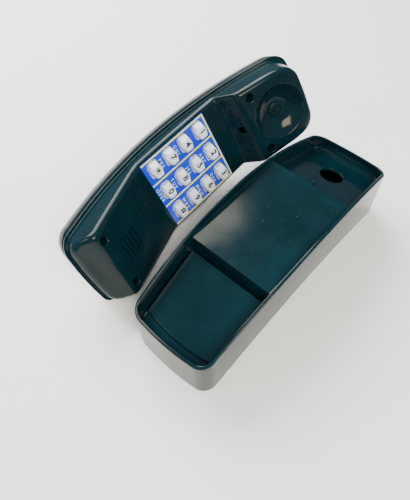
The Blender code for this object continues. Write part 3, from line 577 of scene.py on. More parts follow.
@dataclass
class FinishShelf:
    """Every finish of the telephone, made once."""

    # ABS, gloss-moulded: dark blue-green, mirrors bright things softly.
    green: bpy.types.Material = field(default_factory=lambda: MouldedPlastic(
        "abs_gloss_moulded_green", "#061C21", "#0B262C", "#7C9294", 0.12, 1.53).make())
    # The same ABS from the other mould, which is a little more worn.
    deep_green: bpy.types.Material = field(default_factory=lambda: MouldedPlastic(
        "abs_gloss_moulded_deep_green", "#091B1F", "#0C2227", "#7C9294", 0.14, 1.53,
        scuffs=0.6).make())
    # ABS, satin-moulded white: the keys, slightly yellowed where fingers press.
    white: bpy.types.Material = field(default_factory=lambda: MouldedPlastic(
        "abs_satin_moulded_white", "#F3F5F7", "#EAECEE", "#C9C6BE", 0.34, 1.53,
        flow_mm=9.0, sink_depth_mm=0.01, scuffs=0.3).make())
    # Polypropylene, natural: milky, waxy, hidden inside the handset.
    natural: bpy.types.Material = field(default_factory=lambda: MouldedPlastic(
        "polypropylene_moulded_natural", "#C9C8C0", "#BDBCB2", "#D8D7D0", 0.45, 1.49,
        scuffs=0.2).make())
    # Silicone rubber, compression-moulded: dark grey, dusty and matt.
    rubber: bpy.types.Material = field(default_factory=lambda: MouldedPlastic(
        "silicone_rubber_moulded_grey", "#6E6E6D", "#646463", "#9A9A98", 0.78, 1.41,
        peel_mm=0.8, peel_depth_mm=0.02, scuffs=0.3).make())
    # Polyester film, screen-printed blue.
    blue_film: bpy.types.Material = field(default_factory=lambda: PrintedFilm(
        "polyester_film_printed_blue", "#0B32CE", "#1B4CDE").make())
    # Inks on the same film.
    yellow_ink: bpy.types.Material = field(default_factory=lambda: PrintedFilm(
        "screen_ink_yellow", "#F8F200", "#ECE400").make())
    pale_ink: bpy.types.Material = field(default_factory=lambda: PrintedFilm(
        "screen_ink_pale_blue", "#C9F4F6", "#A6E2EC").make())
    # Pad-printing ink on the keys: black, slightly raised and satin.
    black_ink: bpy.types.Material = field(default_factory=lambda: PrintedFilm(
        "pad_print_ink_black", "#14151A", "#1E2027", 0.4).make())
    # Steel with bright zinc plate.
    steel: bpy.types.Material = field(default_factory=lambda: PlatedSteel(
        "steel_zinc_plated_screw", "#C9CACB", "#A9ABAE").make())


# ------------------------------------------------------------------ outlines
@dataclass
class Outline:
    """A long plan outline with bowed sides, bowed ends and round corners."""

    length: float
    width: float
    side_bow: float
    end_bow: float
    corner: float
    centre: float
    stations: list[float] = field(default_factory=list)
    corner_steps: int = 9

    @property
    def half(self) -> float:
        """Half of the length."""
        return self.length / 2

    def half_width(self, y: float) -> float:
        """Half of the width at y, before the corners round it off."""
        t = (y - self.centre) / self.half
        return self.width / 2 + self.side_bow * (1 - t * t)

    def end_half(self, inset: float, lean: float, corner: float) -> list[tuple[float, float]]:
        """Right-hand points of one end.

        Args:
            inset: how far the ring lies inside the outline.
            lean: how much further this end is pulled in.
            corner: the corner's radius.

        Returns:
            (x, y) points from the side to the middle, with y from the centre.
        """
        side = self.half_width(self.centre + self.half - self.corner) - inset
        x0 = side - corner
        reach = self.half - inset - lean
        y0 = reach + self.end_bow * (1 - (2 * x0 / self.width) ** 2) - corner
        turns = np.radians(np.linspace(4, 86, self.corner_steps))
        points = [(x0 + corner * math.cos(a), y0 + corner * math.sin(a)) for a in turns]
        for share in (0.84, 0.66, 0.46, 0.26, 0.08):
            x = x0 * share
            points.append((x, reach + self.end_bow * (1 - (2 * x / self.width) ** 2)))
        return points

    def pairs(self, inset: float, lean: float = 0.0,
              corner: float | None = None) -> list[tuple[float, float]]:
        """Half-width and y all along a ring; the far end may lean in and be rounder."""
        plain = max(self.corner - inset, 1.5 * MM)
        low = [(x, self.centre - y) for x, y in self.end_half(inset, 0.0, plain)[::-1]]
        high = [(x, self.centre + y) for x, y in self.end_half(inset, lean, corner or plain)]
        rows = [(self.half_width(y) - inset, y) for y in self.stations]
        return low + rows + high

    def ring(self, inset: float, height: Height, lean: float = 0.0,
             corner: float | None = None) -> Rungs:
        """A ring at a height that varies with y.

        Args:
            inset: how far it lies inside the outline.
            height: its level at each y.
            lean: how much further the far end is pulled in.
            corner: radius of the far corners, or None for the usual one.

        Returns:
            The right-hand and the left-hand points.
        """
        pairs = self.pairs(inset, lean, corner)
        return [(x, y, height(y)) for x, y in pairs], [(-x, y, height(y)) for x, y in pairs]


def spaced(low: float, high: float, step: float, fixed: Sequence[float]) -> list[float]:
    """Stations a step apart between two ends, with every fixed one kept."""
    count = max(2, round((high - low) / step))
    even = [low + (high - low) * i / count for i in range(count + 1)]
    kept = [y for y in even if all(abs(y - f) > step * 0.3 for f in fixed)]
    return sorted(kept + [f for f in fixed if low <= f <= high])


# ------------------------------------------------------------------ cradle base
@dataclass
class CradleBase:
    """The cradle: walls, two pockets, the platform between them, shelf, peg and hole."""

    finishes: FinishShelf
    length: float = 0.215
    width: float = 0.066
    wall_height: float = 0.0437
    arch: float = 0.025
    side_bow: float = 0.0039
    end_bow: float = 0.0028
    corner: float = 0.011
    wall: float = 0.0024
    deck: float = 0.0024
    foot_length: float = 0.010
    platform_drop: float = 0.0030
    ear_pocket_depth: float = 0.0135
    shelf_depth: float = 0.0128
    moat_width: float = 0.0030
    moat_depth: float = 0.0080
    ledge_length: float = 0.0075
    ledge_drop: float = 0.0018
    cove: float = 0.0080
    hole_radius: float = 0.0095
    hole_from_end: float = 0.0265
    step_y: float = 0.0455        # edge of the platform towards the ear pocket
    groove_y: float = -0.0454     # edge of the platform towards the shelf
    peg_radius: float = 0.0024
    peg_reach: float = 0.0055
    peg_drop: float = 0.0040
    mark_radius: float = 0.0043   # witness ring of the ejector pin
    mark_place: tuple[float, float] = (0.0255, 0.0335)

    def __post_init__(self) -> None:
        """Work out the place and the levels that several parts share."""
        low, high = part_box("base_tray")
        self.place = Matrix.Translation(((low.x + high.x) / 2, (low.y + high.y) / 2, 0.0))
        self.shelf_y = self.groove_y - self.moat_width
        self.pocket_end = self.length / 2 - self.wall
        self.platform = min(self.rim(self.step_y), self.rim(self.groove_y)) - self.platform_drop

    def rim(self, y: float) -> float:
        """Height of the rim."""
        return self.wall_height + self.arch * (1 - (2 * y / self.length) ** 2)

    def underside(self, y: float) -> float:
        """Height of the lower edge of the walls."""
        reach = self.length / 2 - self.foot_length
        return max(0.0, self.arch * (1 - (y / reach) ** 2))

    def chord(self, y: float, low: float, high: float, depth: float) -> float:
        """A straight floor that lies depth below the rim at its two ends."""
        share = (y - low) / (high - low)
        return (1 - share) * self.rim(low) + share * self.rim(high) - depth

    def ear_floor(self, y: float) -> float:
        """Floor of the ear pocket."""
        return self.chord(y, self.step_y, self.pocket_end, self.ear_pocket_depth)

    def shelf(self, y: float) -> float:
        """Top of the shelf for the mouthpiece."""
        return self.chord(y, -self.pocket_end, self.shelf_y, self.shelf_depth)

    def pocket_floor(self, y: float) -> float:
        """Floor of everything that is open from above."""
        if y < self.groove_y - 0.1 * MM:
            return self.shelf(y) - self.moat_depth
        if y < self.step_y + 0.1 * MM:
            return self.platform
        rise = y - (self.pocket_end + self.end_bow * 0.6 - self.cove)
        rise = min(max(0.0, rise), self.cove * 0.99)
        return self.ear_floor(y) + self.cove - math.sqrt(self.cove ** 2 - rise ** 2)

    def hollow_roof(self, y: float) -> float:
        """Roof of the hollow under the cradle."""
        if y < self.groove_y + self.deck:
            return self.shelf(y) - self.moat_depth - self.deck
        if y < self.step_y - self.deck:
            return self.platform - self.deck
        return self.ear_floor(y) - self.deck

    def outline(self) -> Outline:
        """The plan outline, with close stations wherever a floor steps."""
        fixed = [self.groove_y - 0.5 * MM, self.groove_y - 0.2 * MM, self.groove_y,
                 self.groove_y + 0.5 * MM, self.step_y - 0.5 * MM, self.step_y,
                 self.step_y + 0.3 * MM, self.step_y + 0.7 * MM,
                 self.groove_y + self.deck - 0.3 * MM, self.groove_y + self.deck,
                 self.step_y - self.deck - 0.3 * MM, self.step_y - self.deck]
        fixed += [self.pocket_end + self.end_bow * 0.6 - self.cove + d * MM for d in (0.0, 1.5)]
        reach = self.length / 2 - self.corner - 0.3 * MM
        return Outline(self.length, self.width, self.side_bow, self.end_bow, self.corner, 0.0,
                       spaced(-reach, reach, 4.5 * MM, sorted(fixed)))

    def tray_mesh(self) -> bpy.types.Object:
        """Build the tray as moulded.

        Returns:
            The tray, in its own frame.
        """
        plan = self.outline()
        rim, under = self.rim, self.underside
        outside = [plan.ring(1.2 * MM, under), plan.ring(0.35 * MM, lambda y: under(y) + 0.1 * MM),
                   plan.ring(0.0, lambda y: under(y) + 0.6 * MM),
                   plan.ring(0.0, lambda y: under(y) + 2.0 * MM),
                   plan.ring(0.0, lambda y: rim(y) - 4.0 * MM),
                   plan.ring(0.0, lambda y: rim(y) - 0.9 * MM),
                   plan.ring(0.12 * MM, lambda y: rim(y) - 0.35 * MM),
                   plan.ring(0.45 * MM, lambda y: rim(y) - 0.06 * MM),
                   plan.ring(0.9 * MM, rim)]
        tray = link("base_tray_moulding", to_mesh("base_tray_moulding", ladder(outside)))
        floor, wall = self.pocket_floor, self.wall
        pocket = [plan.ring(wall + 1.5 * MM, floor),
                  plan.ring(wall + 0.55 * MM, lambda y: floor(y) + 0.12 * MM),
                  plan.ring(wall + 0.15 * MM, lambda y: floor(y) + 0.5 * MM),
                  plan.ring(wall, lambda y: floor(y) + 1.1 * MM),
                  plan.ring(wall, lambda y: max(rim(y) - 0.9 * MM, floor(y) + 1.3 * MM)),
                  plan.ring(wall - 0.15 * MM, lambda y: rim(y) - 0.3 * MM),
                  plan.ring(wall - 0.6 * MM, lambda y: rim(y) + 0.05 * MM),
                  plan.ring(wall - 0.6 * MM, lambda y: rim(y) + 5.0 * MM)]
        carve(tray, ladder(pocket), Carve.CUT)
        hollow = [plan.ring(wall, lambda y: under(y) - 4.0 * MM), plan.ring(wall, self.hollow_roof)]
        carve(tray, ladder(hollow), Carve.CUT)
        for block in self.shelf_blocks(plan):
            carve(tray, block, Carve.JOIN)
        carve(tray, self.feet_and_peg(), Carve.JOIN)
        carve(tray, self.holes(), Carve.CUT)
        carve(tray, self.mark_disc(self.mark_radius - 0.5 * MM, -0.9 * MM, -0.06 * MM), Carve.JOIN)
        return tray

    def shelf_blocks(self, plan: Outline) -> list[Shape]:
        """The shelf and the shallow ledge at its end, both bowed like the end wall.

        Args:
            plan: the outline of the base.

        Returns:
            The two blocks, hollow space being left below them.
        """
        blocks = []
        inset = self.wall + self.moat_width
        shelf_end = -self.pocket_end + self.ledge_length
        spans = ((shelf_end, self.shelf_y, inset, 0.0),
                 (-self.length / 2 + 1.2 * MM, shelf_end + 2.0 * MM, inset + 0.6 * MM,
                  self.ledge_drop))
        for y_low, y_high, side, drop in spans:
            rings = []
            levels = ((0.0, None), (0.0, 0.9 * MM), (0.12 * MM, 0.35 * MM),
                      (0.45 * MM, 0.06 * MM), (0.9 * MM, 0.0))
            for edge, depth in levels:
                ring: Ring = []
                rows = [y_low + edge + (y_high - y_low - 2 * edge) * i / 10 for i in range(11)]
                half = plan.half_width(y_low) - side - edge
                right = [(plan.half_width(y) - side - edge, y) for y in rows]
                across = [(half * (1 - 2 * i / 10), y_low + edge
                           - self.end_bow * (1 - (1 - 2 * i / 10) ** 2)) for i in range(1, 10)]
                loop = right + [(-x, y) for x, y in right[::-1]] + [(-x, y) for x, y in across]
                for x, y in loop:
                    if depth is None:
                        z = self.shelf(y) - self.moat_depth - 1.2 * MM
                    else:
                        z = self.shelf(y) - drop - depth
                    ring.append((x, y, z))
                rings.append(ring)
            blocks.append(loft(rings))
        return blocks

    def feet_and_peg(self) -> Shape:
        """The flat feet under both ends and the peg that the handset hangs on."""
        bodies = []
        for side in (-1, 1):
            ends = sorted((side * (self.length / 2 - self.foot_length + 1.5 * MM),
                           side * (self.length / 2 - 0.6 * MM)))
            bodies.append(soft_box((-22 * MM, ends[0], 0.0), (22 * MM, ends[1], 3 * MM), 0.6 * MM))
        peg = turned([(self.peg_radius, -1.5 * MM), (self.peg_radius, self.peg_reach - 1.2 * MM),
                      (self.peg_radius - 0.3 * MM, self.peg_reach - 0.5 * MM),
                      (self.peg_radius - 0.9 * MM, self.peg_reach - 0.1 * MM),
                      (self.peg_radius - 1.6 * MM, self.peg_reach)], 28)
        bodies.append(peg.placed(Matrix.Translation((0.0, self.step_y, self.platform - self.peg_drop))
                                 @ Matrix.Rotation(-math.pi / 2, 4, "X")))
        return Shape.together(bodies)

    def holes(self) -> Shape:
        """The round hole with its eased lip, and the shallow ejector mark on the platform."""
        y = self.length / 2 - self.hole_from_end
        slope = (self.ear_floor(y + MM) - self.ear_floor(y)) / MM
        hole = turned([(self.hole_radius, -8 * MM), (self.hole_radius, -0.5 * MM),
                       (self.hole_radius + 0.15 * MM, -0.2 * MM),
                       (self.hole_radius + 0.5 * MM, 0.02 * MM),
                       (self.hole_radius + 0.5 * MM, 3 * MM)], 64)
        tilt = Matrix.Rotation(math.atan(slope), 4, "X")
        hole = hole.placed(Matrix.Translation((0.0, y, self.ear_floor(y))) @ tilt)
        return Shape.together([hole, self.mark_disc(self.mark_radius, -0.3 * MM, MM)])

    def mark_disc(self, radius: float, low: float, high: float) -> Shape:
        """A round disc where the ejector pin left its mark, between two levels."""
        x, y = self.mark_place
        disc = turned([(radius - 0.15 * MM, low), (radius, high)], 48)
        return disc.placed(Matrix.Translation((x, y, self.platform)))

    def build(self) -> list[bpy.types.Object]:
        """Build and dress the base.

        Returns:
            The new pieces.
        """
        tray = finish_piece(self.tray_mesh(), self.finishes.green, self.place)
        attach(tray, "base")
        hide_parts("base_tray")
        dress_node("base_back_plate", self.finishes.deep_green)
        return [tray]


# ------------------------------------------------------------------ handset
@dataclass
class HandsetForm:
    """The sizes and curves that both handset shells and the keypad share."""

    length: float = 0.2268
    width: float = 0.0650
    side_bow: float = 0.0036
    end_bow: float = 0.0022
    corner: float = 0.0125
    arch: float = 0.0262
    centre: float = -0.0013
    wall: float = 0.0024
    ledge: float = 0.0022
    flange_rim: float = 0.0024
    groove: float = 0.0009
    parting_to_label: float = 0.0145
    back_depth: float = 0.0170
    mouth_ridge_height: float = 0.0308
    mouth_ridge_from_tip: float = 0.0218
    ear_step: float = 0.0194
    ear_slope: float = 0.31
    ear_lean: float = 0.0056
    ear_corner: float = 0.0145
    label_width: float = 0.0610
    label_length: float = 0.0658
    neck_strip: float = 0.0155
    neck_run: float = 0.0076
    face_height: float = 0.0005
    label_thickness: float = 0.0004
    gap: float = 0.0003
    key_pitch_x: float = 0.020467
    key_pitch_y: float = 0.0158
    key_x: float = 0.012667
    key_y: float = 0.0098
    key_height: float = 0.0052
    key_end_clearance: float = 0.0014
    key_side_clearance: float = 0.0007
    lean: float = math.radians(62.7)
    pitch: float = math.radians(7.4)
    yaw: float = math.radians(-2.4)

    def __post_init__(self) -> None:
        """Work out the shared places and the curve of the face."""
        turn = (Matrix.Rotation(self.yaw, 4, "Z") @ Matrix.Rotation(self.pitch, 4, "X")
                @ Matrix.Rotation(self.lean, 4, "Y"))
        low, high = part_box("keypad_label")
        middle = (low + high) / 2 + (turn @ Vector((0.0, 0.0, self.label_thickness / 2)))
        self.place = Matrix.Translation(middle) @ turn
        self.label_end = self.label_length / 2
        self.neck_foot = self.label_end + self.neck_strip
        self.neck_top = self.neck_foot + self.neck_run
        self.tip_low = self.centre - self.length / 2 - self.end_bow
        self.tip_high = self.centre + self.length / 2 + self.end_bow
        self.ridge = self.tip_low + self.mouth_ridge_from_tip
        self.mouth_slope = ((self.mouth_ridge_height - self.face_height)
                            / (-self.label_end - 2 * MM - self.ridge))
        self.face = self.face_curve()

    def parting(self, y: float) -> float:
        """Height of the line where the two shells meet."""
        t = (y - self.centre) / (self.length / 2)
        return -self.parting_to_label + self.arch * min(t * t, 1.06)

    def above(self, lift: float) -> Height:
        """A height a fixed way above the parting line."""
        return lambda y: self.parting(y) + lift

    def face_curve(self) -> Height:
        """The handset's face along its length, with its bends eased."""
        tip, ridge, high = self.tip_low, self.ridge, self.mouth_ridge_height
        end_rise = self.ear_step + self.ear_slope * (self.tip_high - self.neck_top)
        knots = [(tip - MM, self.parting(tip) + 5.2 * MM),
                 (tip + 3 * MM, self.parting(tip) + 7.0 * MM),
                 (ridge - 10 * MM, high - 7.5 * MM), (ridge - 5.5 * MM, high - 2.9 * MM),
                 (ridge - 2 * MM, high - 0.6 * MM), (ridge + 1.5 * MM, high - 0.3 * MM),
                 (ridge + 6 * MM, high - self.mouth_slope * 6 * MM),
                 (-self.label_end - 6 * MM, self.face_height + self.mouth_slope * 4 * MM),
                 (-self.label_end - 2 * MM, self.face_height + 0.4 * MM),
                 (-self.label_end - 0.8 * MM, self.face_height),
                 (self.neck_foot - 1.5 * MM, self.face_height),
                 (self.neck_foot, self.face_height + 0.6 * MM),
                 (self.neck_top - 0.6 * MM, self.ear_step - MM),
                 (self.neck_top + 0.6 * MM, self.ear_step + 0.2 * MM),
                 (self.tip_high, end_rise)]
        eases = [(ridge + 8 * MM, 3.6 * MM), (ridge + 14 * MM, 1.5 * MM),
                 (self.neck_foot - 4 * MM, 1.1 * MM), (self.neck_top - 2 * MM, 1.5 * MM),
                 (self.neck_top + MM, 2.2 * MM)]
        return profile(knots, eases)

    def outline(self) -> Outline:
        """The plan outline, with close stations where the face bends."""
        bends = [self.neck_foot + d * MM for d in (-3.0, -2.0, -1.2, -0.5, 0.2, 1.0, 2.0)]
        bends += [self.neck_top + d * MM for d in (-2.6, -1.8, -1.1, -0.5, 0.1, 0.7, 1.4, 2.2, 3.2)]
        bends += [self.ridge + d * MM for d in np.linspace(-9.0, 9.0, 15)]
        bends += [-self.label_end + d * MM for d in (-7.0, -5.5, -3.2, -2.2, -1.3, -0.5)]
        bends += [self.label_end + 0.8 * MM]
        low = self.centre - self.length / 2 + self.corner + 0.3 * MM
        high = self.tip_high - self.ear_lean - self.ledge - 4.6 * MM - self.ear_corner
        return Outline(self.length, self.width, self.side_bow, self.end_bow, self.corner,
                       self.centre, spaced(low, high, 3.6 * MM, sorted(bends)))

    def key_places(self) -> list[tuple[str, float, float]]:
        """Name and centre of the twelve keys, row by row from the earpiece."""
        names = ["1", "2", "3", "4", "5", "6", "7", "8", "9", "star", "0", "hash"]
        places = []
        for i, name in enumerate(names):
            row, col = divmod(i, 3)
            places.append((name, (col - 1) * self.key_pitch_x, (1.5 - row) * self.key_pitch_y))
        return places

    def screw_places(self) -> list[tuple[float, float]]:
        """The four long screws: two at the mouthpiece, two at the earpiece."""
        mouth, ear = self.ridge + 3.8 * MM, self.neck_top + 7.5 * MM
        return [(-21.1 * MM, mouth), (21.1 * MM, mouth), (-23.8 * MM, ear), (23.8 * MM, ear)]

    def carrier_screw_places(self) -> list[tuple[float, float]]:
        """The four small screws of the key carrier."""
        x, y = self.label_width / 2 - 10.5 * MM, self.label_end + 3.7 * MM
        return [(sx * x, sy * y) for sy in (-1, 1) for sx in (-1, 1)]

    def windows(self, low: float, high: float, grow: float = 0.0) -> Shape:
        """The twelve key windows between two levels, a little larger where asked."""
        half_x = self.key_x / 2 + self.key_end_clearance + grow
        half_y = self.key_y / 2 + self.key_side_clearance + grow
        window = loft([squircle(half_x, half_y, low, 3.0), squircle(half_x, half_y, high, 3.0)])
        return Shape.together(window.placed(Matrix.Translation((x, y, 0.0)))
                              for _, x, y in self.key_places())

    def ear_place(self) -> Matrix:
        """A frame on the earpiece face, at the middle of its dish, Z out of the face."""
        y = self.neck_top + 24.6 * MM
        return (Matrix.Translation((0.0, y, self.face(y)))
                @ Matrix.Rotation(math.atan(self.ear_slope), 4, "X"))


@dataclass
class FrontShell:
    """The handset's front: mouthpiece block, keypad face, neck wall and earpiece block."""

    form: HandsetForm
    finishes: FinishShelf
    cup_radius: float = 0.0213
    cup_depth: float = 0.0078
    disc_radius: float = 0.0057
    slot_count: int = 5
    slot_pitch: float = 0.0036
    slot_width: float = 0.0010
    slot_length: float = 0.0180
    slots_from_ridge: float = 0.0193
    head_bore: float = 0.0031
    edge_width: float = 0.0042    # how far the face rounds off on its way to the walls

    def inside(self, y: float) -> float:
        """Inner side of the face, kept clear of its steep stretches."""
        form = self.form
        roof = min(form.face(y + d * MM) for d in (-2.1, -1.0, 0.0, 1.0, 2.1)) - form.wall
        if abs(y) < form.label_end + MM:
            return min(roof, -form.label_thickness - 1.9 * MM)
        return roof

    def edge_drop(self, y: float) -> float:
        """Height over which the face rounds off into the walls."""
        form = self.form
        return min(4.6 * MM, 0.62 * (form.face(y) - form.parting(y) - form.flange_rim))

    def foot_room(self, y: float) -> float:
        """Height of one unit of the fillet at the foot of the walls, less where they are low."""
        form = self.form
        wall = form.face(y) - self.edge_drop(y) - form.parting(y) - form.flange_rim
        return min(MM, wall / 2.0)

    def body(self) -> Shape:
        """The shell without any opening.

        Returns:
            The closed body, with walls and face of one thickness.
        """
        form, plan = self.form, self.form.outline()
        ledge, lean, corner, face = form.ledge, form.ear_lean, form.ear_corner, form.face
        foot, edge = form.flange_rim, self.edge_width
        rings = [plan.ring(ledge + edge + 2.0 * MM, face, lean, corner - 1.2 * MM),
                 plan.ring(ledge + edge + 0.8 * MM, face, lean, corner - 0.3 * MM)]
        for step in range(1, 8):
            a = math.pi / 14 * step
            out, sunk = edge * math.sin(a), 1 - math.cos(a)
            rings.append(plan.ring(ledge + edge + 0.6 * MM - out,
                                   lambda y, s=sunk: face(y) - s * self.edge_drop(y), lean, corner))
        fillet = ((0.45, 1.5), (0.25, 0.75), (0.05, 0.3), (-0.3, 0.06), (-0.7, 0.0))
        for inset, lift in fillet:
            rings.append(plan.ring(ledge + inset * MM,
                                   lambda y, u=lift: form.parting(y) + foot + u * self.foot_room(y),
                                   0.0, corner - 1.5 * MM))
        rings += [plan.ring(0.6 * MM, form.above(foot)),
                  plan.ring(0.25 * MM, form.above(foot - 0.06 * MM)),
                  plan.ring(0.05 * MM, form.above(foot - 0.3 * MM)),
                  plan.ring(0.0, form.above(foot - 0.7 * MM)), plan.ring(0.0, form.above(form.gap)),
                  plan.ring(ledge + form.wall, form.above(form.gap)),
                  plan.ring(ledge + form.wall + 0.4 * MM,
                            lambda y: min(form.parting(y) + foot, self.inside(y) - 1.2 * MM)),
                  plan.ring(ledge + form.wall + 1.2 * MM, lambda y: self.inside(y) - 0.8 * MM,
                            lean, corner),
                  plan.ring(ledge + form.wall + 2.4 * MM, self.inside, lean, corner)]
        return ladder(rings)

    def cup(self) -> tuple[Shape, Shape, Shape]:
        """The earpiece dish.

        Returns:
            Its back, which is joined on; the dish, which is cut out; and the disc with its
            raised ring and boss, which is joined on last.
        """
        place, r, d = self.form.ear_place(), self.cup_radius, self.cup_depth
        back = turned([(8 * MM, -d - 2.2 * MM), (12.5 * MM, -d - 1.2 * MM),
                       (17.5 * MM, -d + 1.2 * MM), (r + 1.4 * MM, -3 * MM), (r + 1.4 * MM, -MM)])
        curve = []
        for step in range(11):
            share = step / 10
            curve.append((7.5 * MM + (r - 8.0 * MM) * share, -d + (d - 0.9 * MM) * share ** 2.1))
        dish = turned([(6.4 * MM, -d), *curve, (r - 0.2 * MM, -0.5 * MM),
                       (r + 0.15 * MM, -0.15 * MM), (r + 0.7 * MM, 0.02 * MM),
                       (r + 0.7 * MM, 4 * MM)], 80)
        s = self.disc_radius
        disc = turned([(s + 0.5 * MM, -d - 0.8 * MM), (s + 0.5 * MM, -d + 0.1 * MM),
                       (s + 0.3 * MM, -d + 0.9 * MM), (s, -d + 1.25 * MM),
                       (s - 0.5 * MM, -d + 1.4 * MM), (s - 1.1 * MM, -d + 1.3 * MM),
                       (s - 1.4 * MM, -d + 0.9 * MM), (s - 1.6 * MM, -d + 0.5 * MM),
                       (2.5 * MM, -d + 0.45 * MM), (2.2 * MM, -d + 0.9 * MM),
                       (1.9 * MM, -d + 1.5 * MM), (1.1 * MM, -d + 1.75 * MM),
                       (0.4 * MM, -d + 1.8 * MM)], 56)
        return back.placed(place), dish.placed(place), disc.placed(place)

    def towers(self) -> Shape:
        """The screw towers that show at the bottom of the four deep holes."""
        form = self.form
        bodies = []
        for x, y in form.screw_places():
            foot = form.parting(y) + 1.2 * MM
            bodies.append(column(x, y, self.head_bore + 1.4 * MM, lambda v, z=foot: z,
                                 lambda v: form.face(v) - MM))
        return Shape.together(bodies)

    def screw_bores(self) -> Shape:
        """The four holes down to the screw heads, each with an eased lip."""
        form, r = self.form, self.head_bore
        bodies = []
        for x, y in form.screw_places():
            foot, top = form.parting(y) + 4.2 * MM, form.face(y)
            slope = math.atan((form.face(y + MM) - form.face(y - MM)) / (2 * MM))
            shaft = turned([(r, foot - top), (r, -1.8 * MM)], 36)
            lip = turned([(r, -2.4 * MM), (r, -1.3 * MM), (r + 0.15 * MM, -0.75 * MM),
                          (r + 0.5 * MM, -0.25 * MM), (r + 1.1 * MM, 0.02 * MM),
                          (r + 1.1 * MM, 4 * MM)], 36)
            place = Matrix.Translation((x, y, top))
            bodies.append(join_rings(shaft.placed(place),
                                     lip.placed(place @ Matrix.Rotation(slope, 4, "X")), 36))
        return Shape.together(bodies)

    def grille(self) -> Shape:
        """The speaking slots across the mouthpiece face, longest in the middle."""
        form = self.form
        tilt = Matrix.Rotation(-math.atan(form.mouth_slope), 4, "X")
        bodies = []
        for i in range(self.slot_count):
            step = i - (self.slot_count - 1) / 2
            y = form.ridge + self.slots_from_ridge + step * self.slot_pitch
            length = self.slot_length * math.sqrt(1 - (step / (self.slot_count - 0.6)) ** 2)
            slot = stadium(length, self.slot_width, -6 * MM, 3 * MM)
            bodies.append(slot.placed(Matrix.Translation((0.0, y, form.face(y))) @ tilt))
        return Shape.together(bodies)

    def hook_strip(self, length: float, height: float, depth: float) -> Shape:
        """A sunk strip in the middle of the neck wall."""
        form = self.form
        y = (form.neck_foot + form.neck_top) / 2
        lean = math.atan2(form.ear_step, form.neck_run)
        place = Matrix.Translation((0.0, y, form.ear_step / 2)) @ Matrix.Rotation(lean, 4, "X")
        return soft_box((-length / 2, -height / 2, -depth), (length / 2, height / 2, 5 * MM),
                        0.8 * MM).placed(place)

    def build(self) -> bpy.types.Object:
        """Build and dress the front shell.

        Returns:
            The piece.
        """
        form = self.form
        shell = link("handset_front_moulding", to_mesh("handset_front_moulding", self.body()))
        back, dish, disc = self.cup()
        carve(shell, Shape.together([self.towers(), back]), Carve.JOIN)
        carve(shell, dish, Carve.CUT)
        carve(shell, disc, Carve.JOIN)
        carve(shell, form.windows(-6 * MM, 4 * MM), Carve.CUT)
        half_x, half_y = form.label_width / 2 + form.gap, form.label_end + form.gap
        carve(shell, soft_box((-half_x, -half_y, -form.label_thickness - form.gap),
                              (half_x, half_y, 6 * MM), 0.5 * MM), Carve.CUT)
        carve(shell, self.grille(), Carve.CUT)
        carve(shell, self.hook_strip(40 * MM, 8 * MM, MM), Carve.CUT)
        carve(shell, self.hook_strip(6 * MM, 7 * MM, 8 * MM), Carve.CUT)
        carve(shell, self.screw_bores(), Carve.CUT)
        finish_piece(shell, self.finishes.green, form.place)
        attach(shell, "handset")
        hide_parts("handset_front_shell")
        return shell


def join_rings(lower: Shape, upper: Shape, count: int) -> Shape:
    """One body from two turned ones that follow each other, without the caps between them."""
    first = [tuple(c) for c in lower.corners]
    second = [tuple(c) for c in upper.corners]
    rings = [first[i:i + count] for i in range(0, len(first) - count, count)]
    rings += [second[i:i + count] for i in range(count, len(second), count)]
    return loft(rings)


@dataclass
class BackShell:
    """The handset's convex back."""

    form: HandsetForm
    finishes: FinishShelf

    def build(self) -> bpy.types.Object:
        """Build and dress the back shell.

        Returns:
            The piece.
        """
        form, plan = self.form, self.form.outline()
        deep = -form.back_depth
        rings = []
        corners = ((10.5, 0.0), (8.2, 0.25), (5.8, 0.9), (4.0, 2.1), (2.4, 3.8), (1.4, 5.8),
                   (0.7, 8.0), (0.2, 10.5), (0.0, 13.0))
        for inset, lift in corners:
            rings.append(plan.ring((inset + 0.06) * MM, form.above(deep + lift * MM)))
        rings += [plan.ring(0.06 * MM, form.above(-form.gap - 1.7 * form.groove)),
                  plan.ring(0.12 * MM, form.above(-form.gap - 1.35 * form.groove)),
                  plan.ring(form.groove * 0.75, form.above(-form.gap - 1.1 * form.groove)),
                  plan.ring(form.groove, form.above(-form.gap - form.groove)),
                  plan.ring(form.groove, form.above(-form.gap)),
                  plan.ring(form.wall, form.above(-form.gap)),
                  plan.ring(form.wall, form.above(deep + 13 * MM)),
                  plan.ring(2.4 * MM + form.wall, form.above(deep + 3.8 * MM + form.wall)),
                  plan.ring(10.5 * MM, form.above(deep + form.wall))]
        shell = link("handset_back_moulding", to_mesh("handset_back_moulding", ladder(rings)))
        finish_piece(shell, self.finishes.deep_green, form.place)
        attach(shell, "handset")
        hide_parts("handset_back_shell")
        return shell


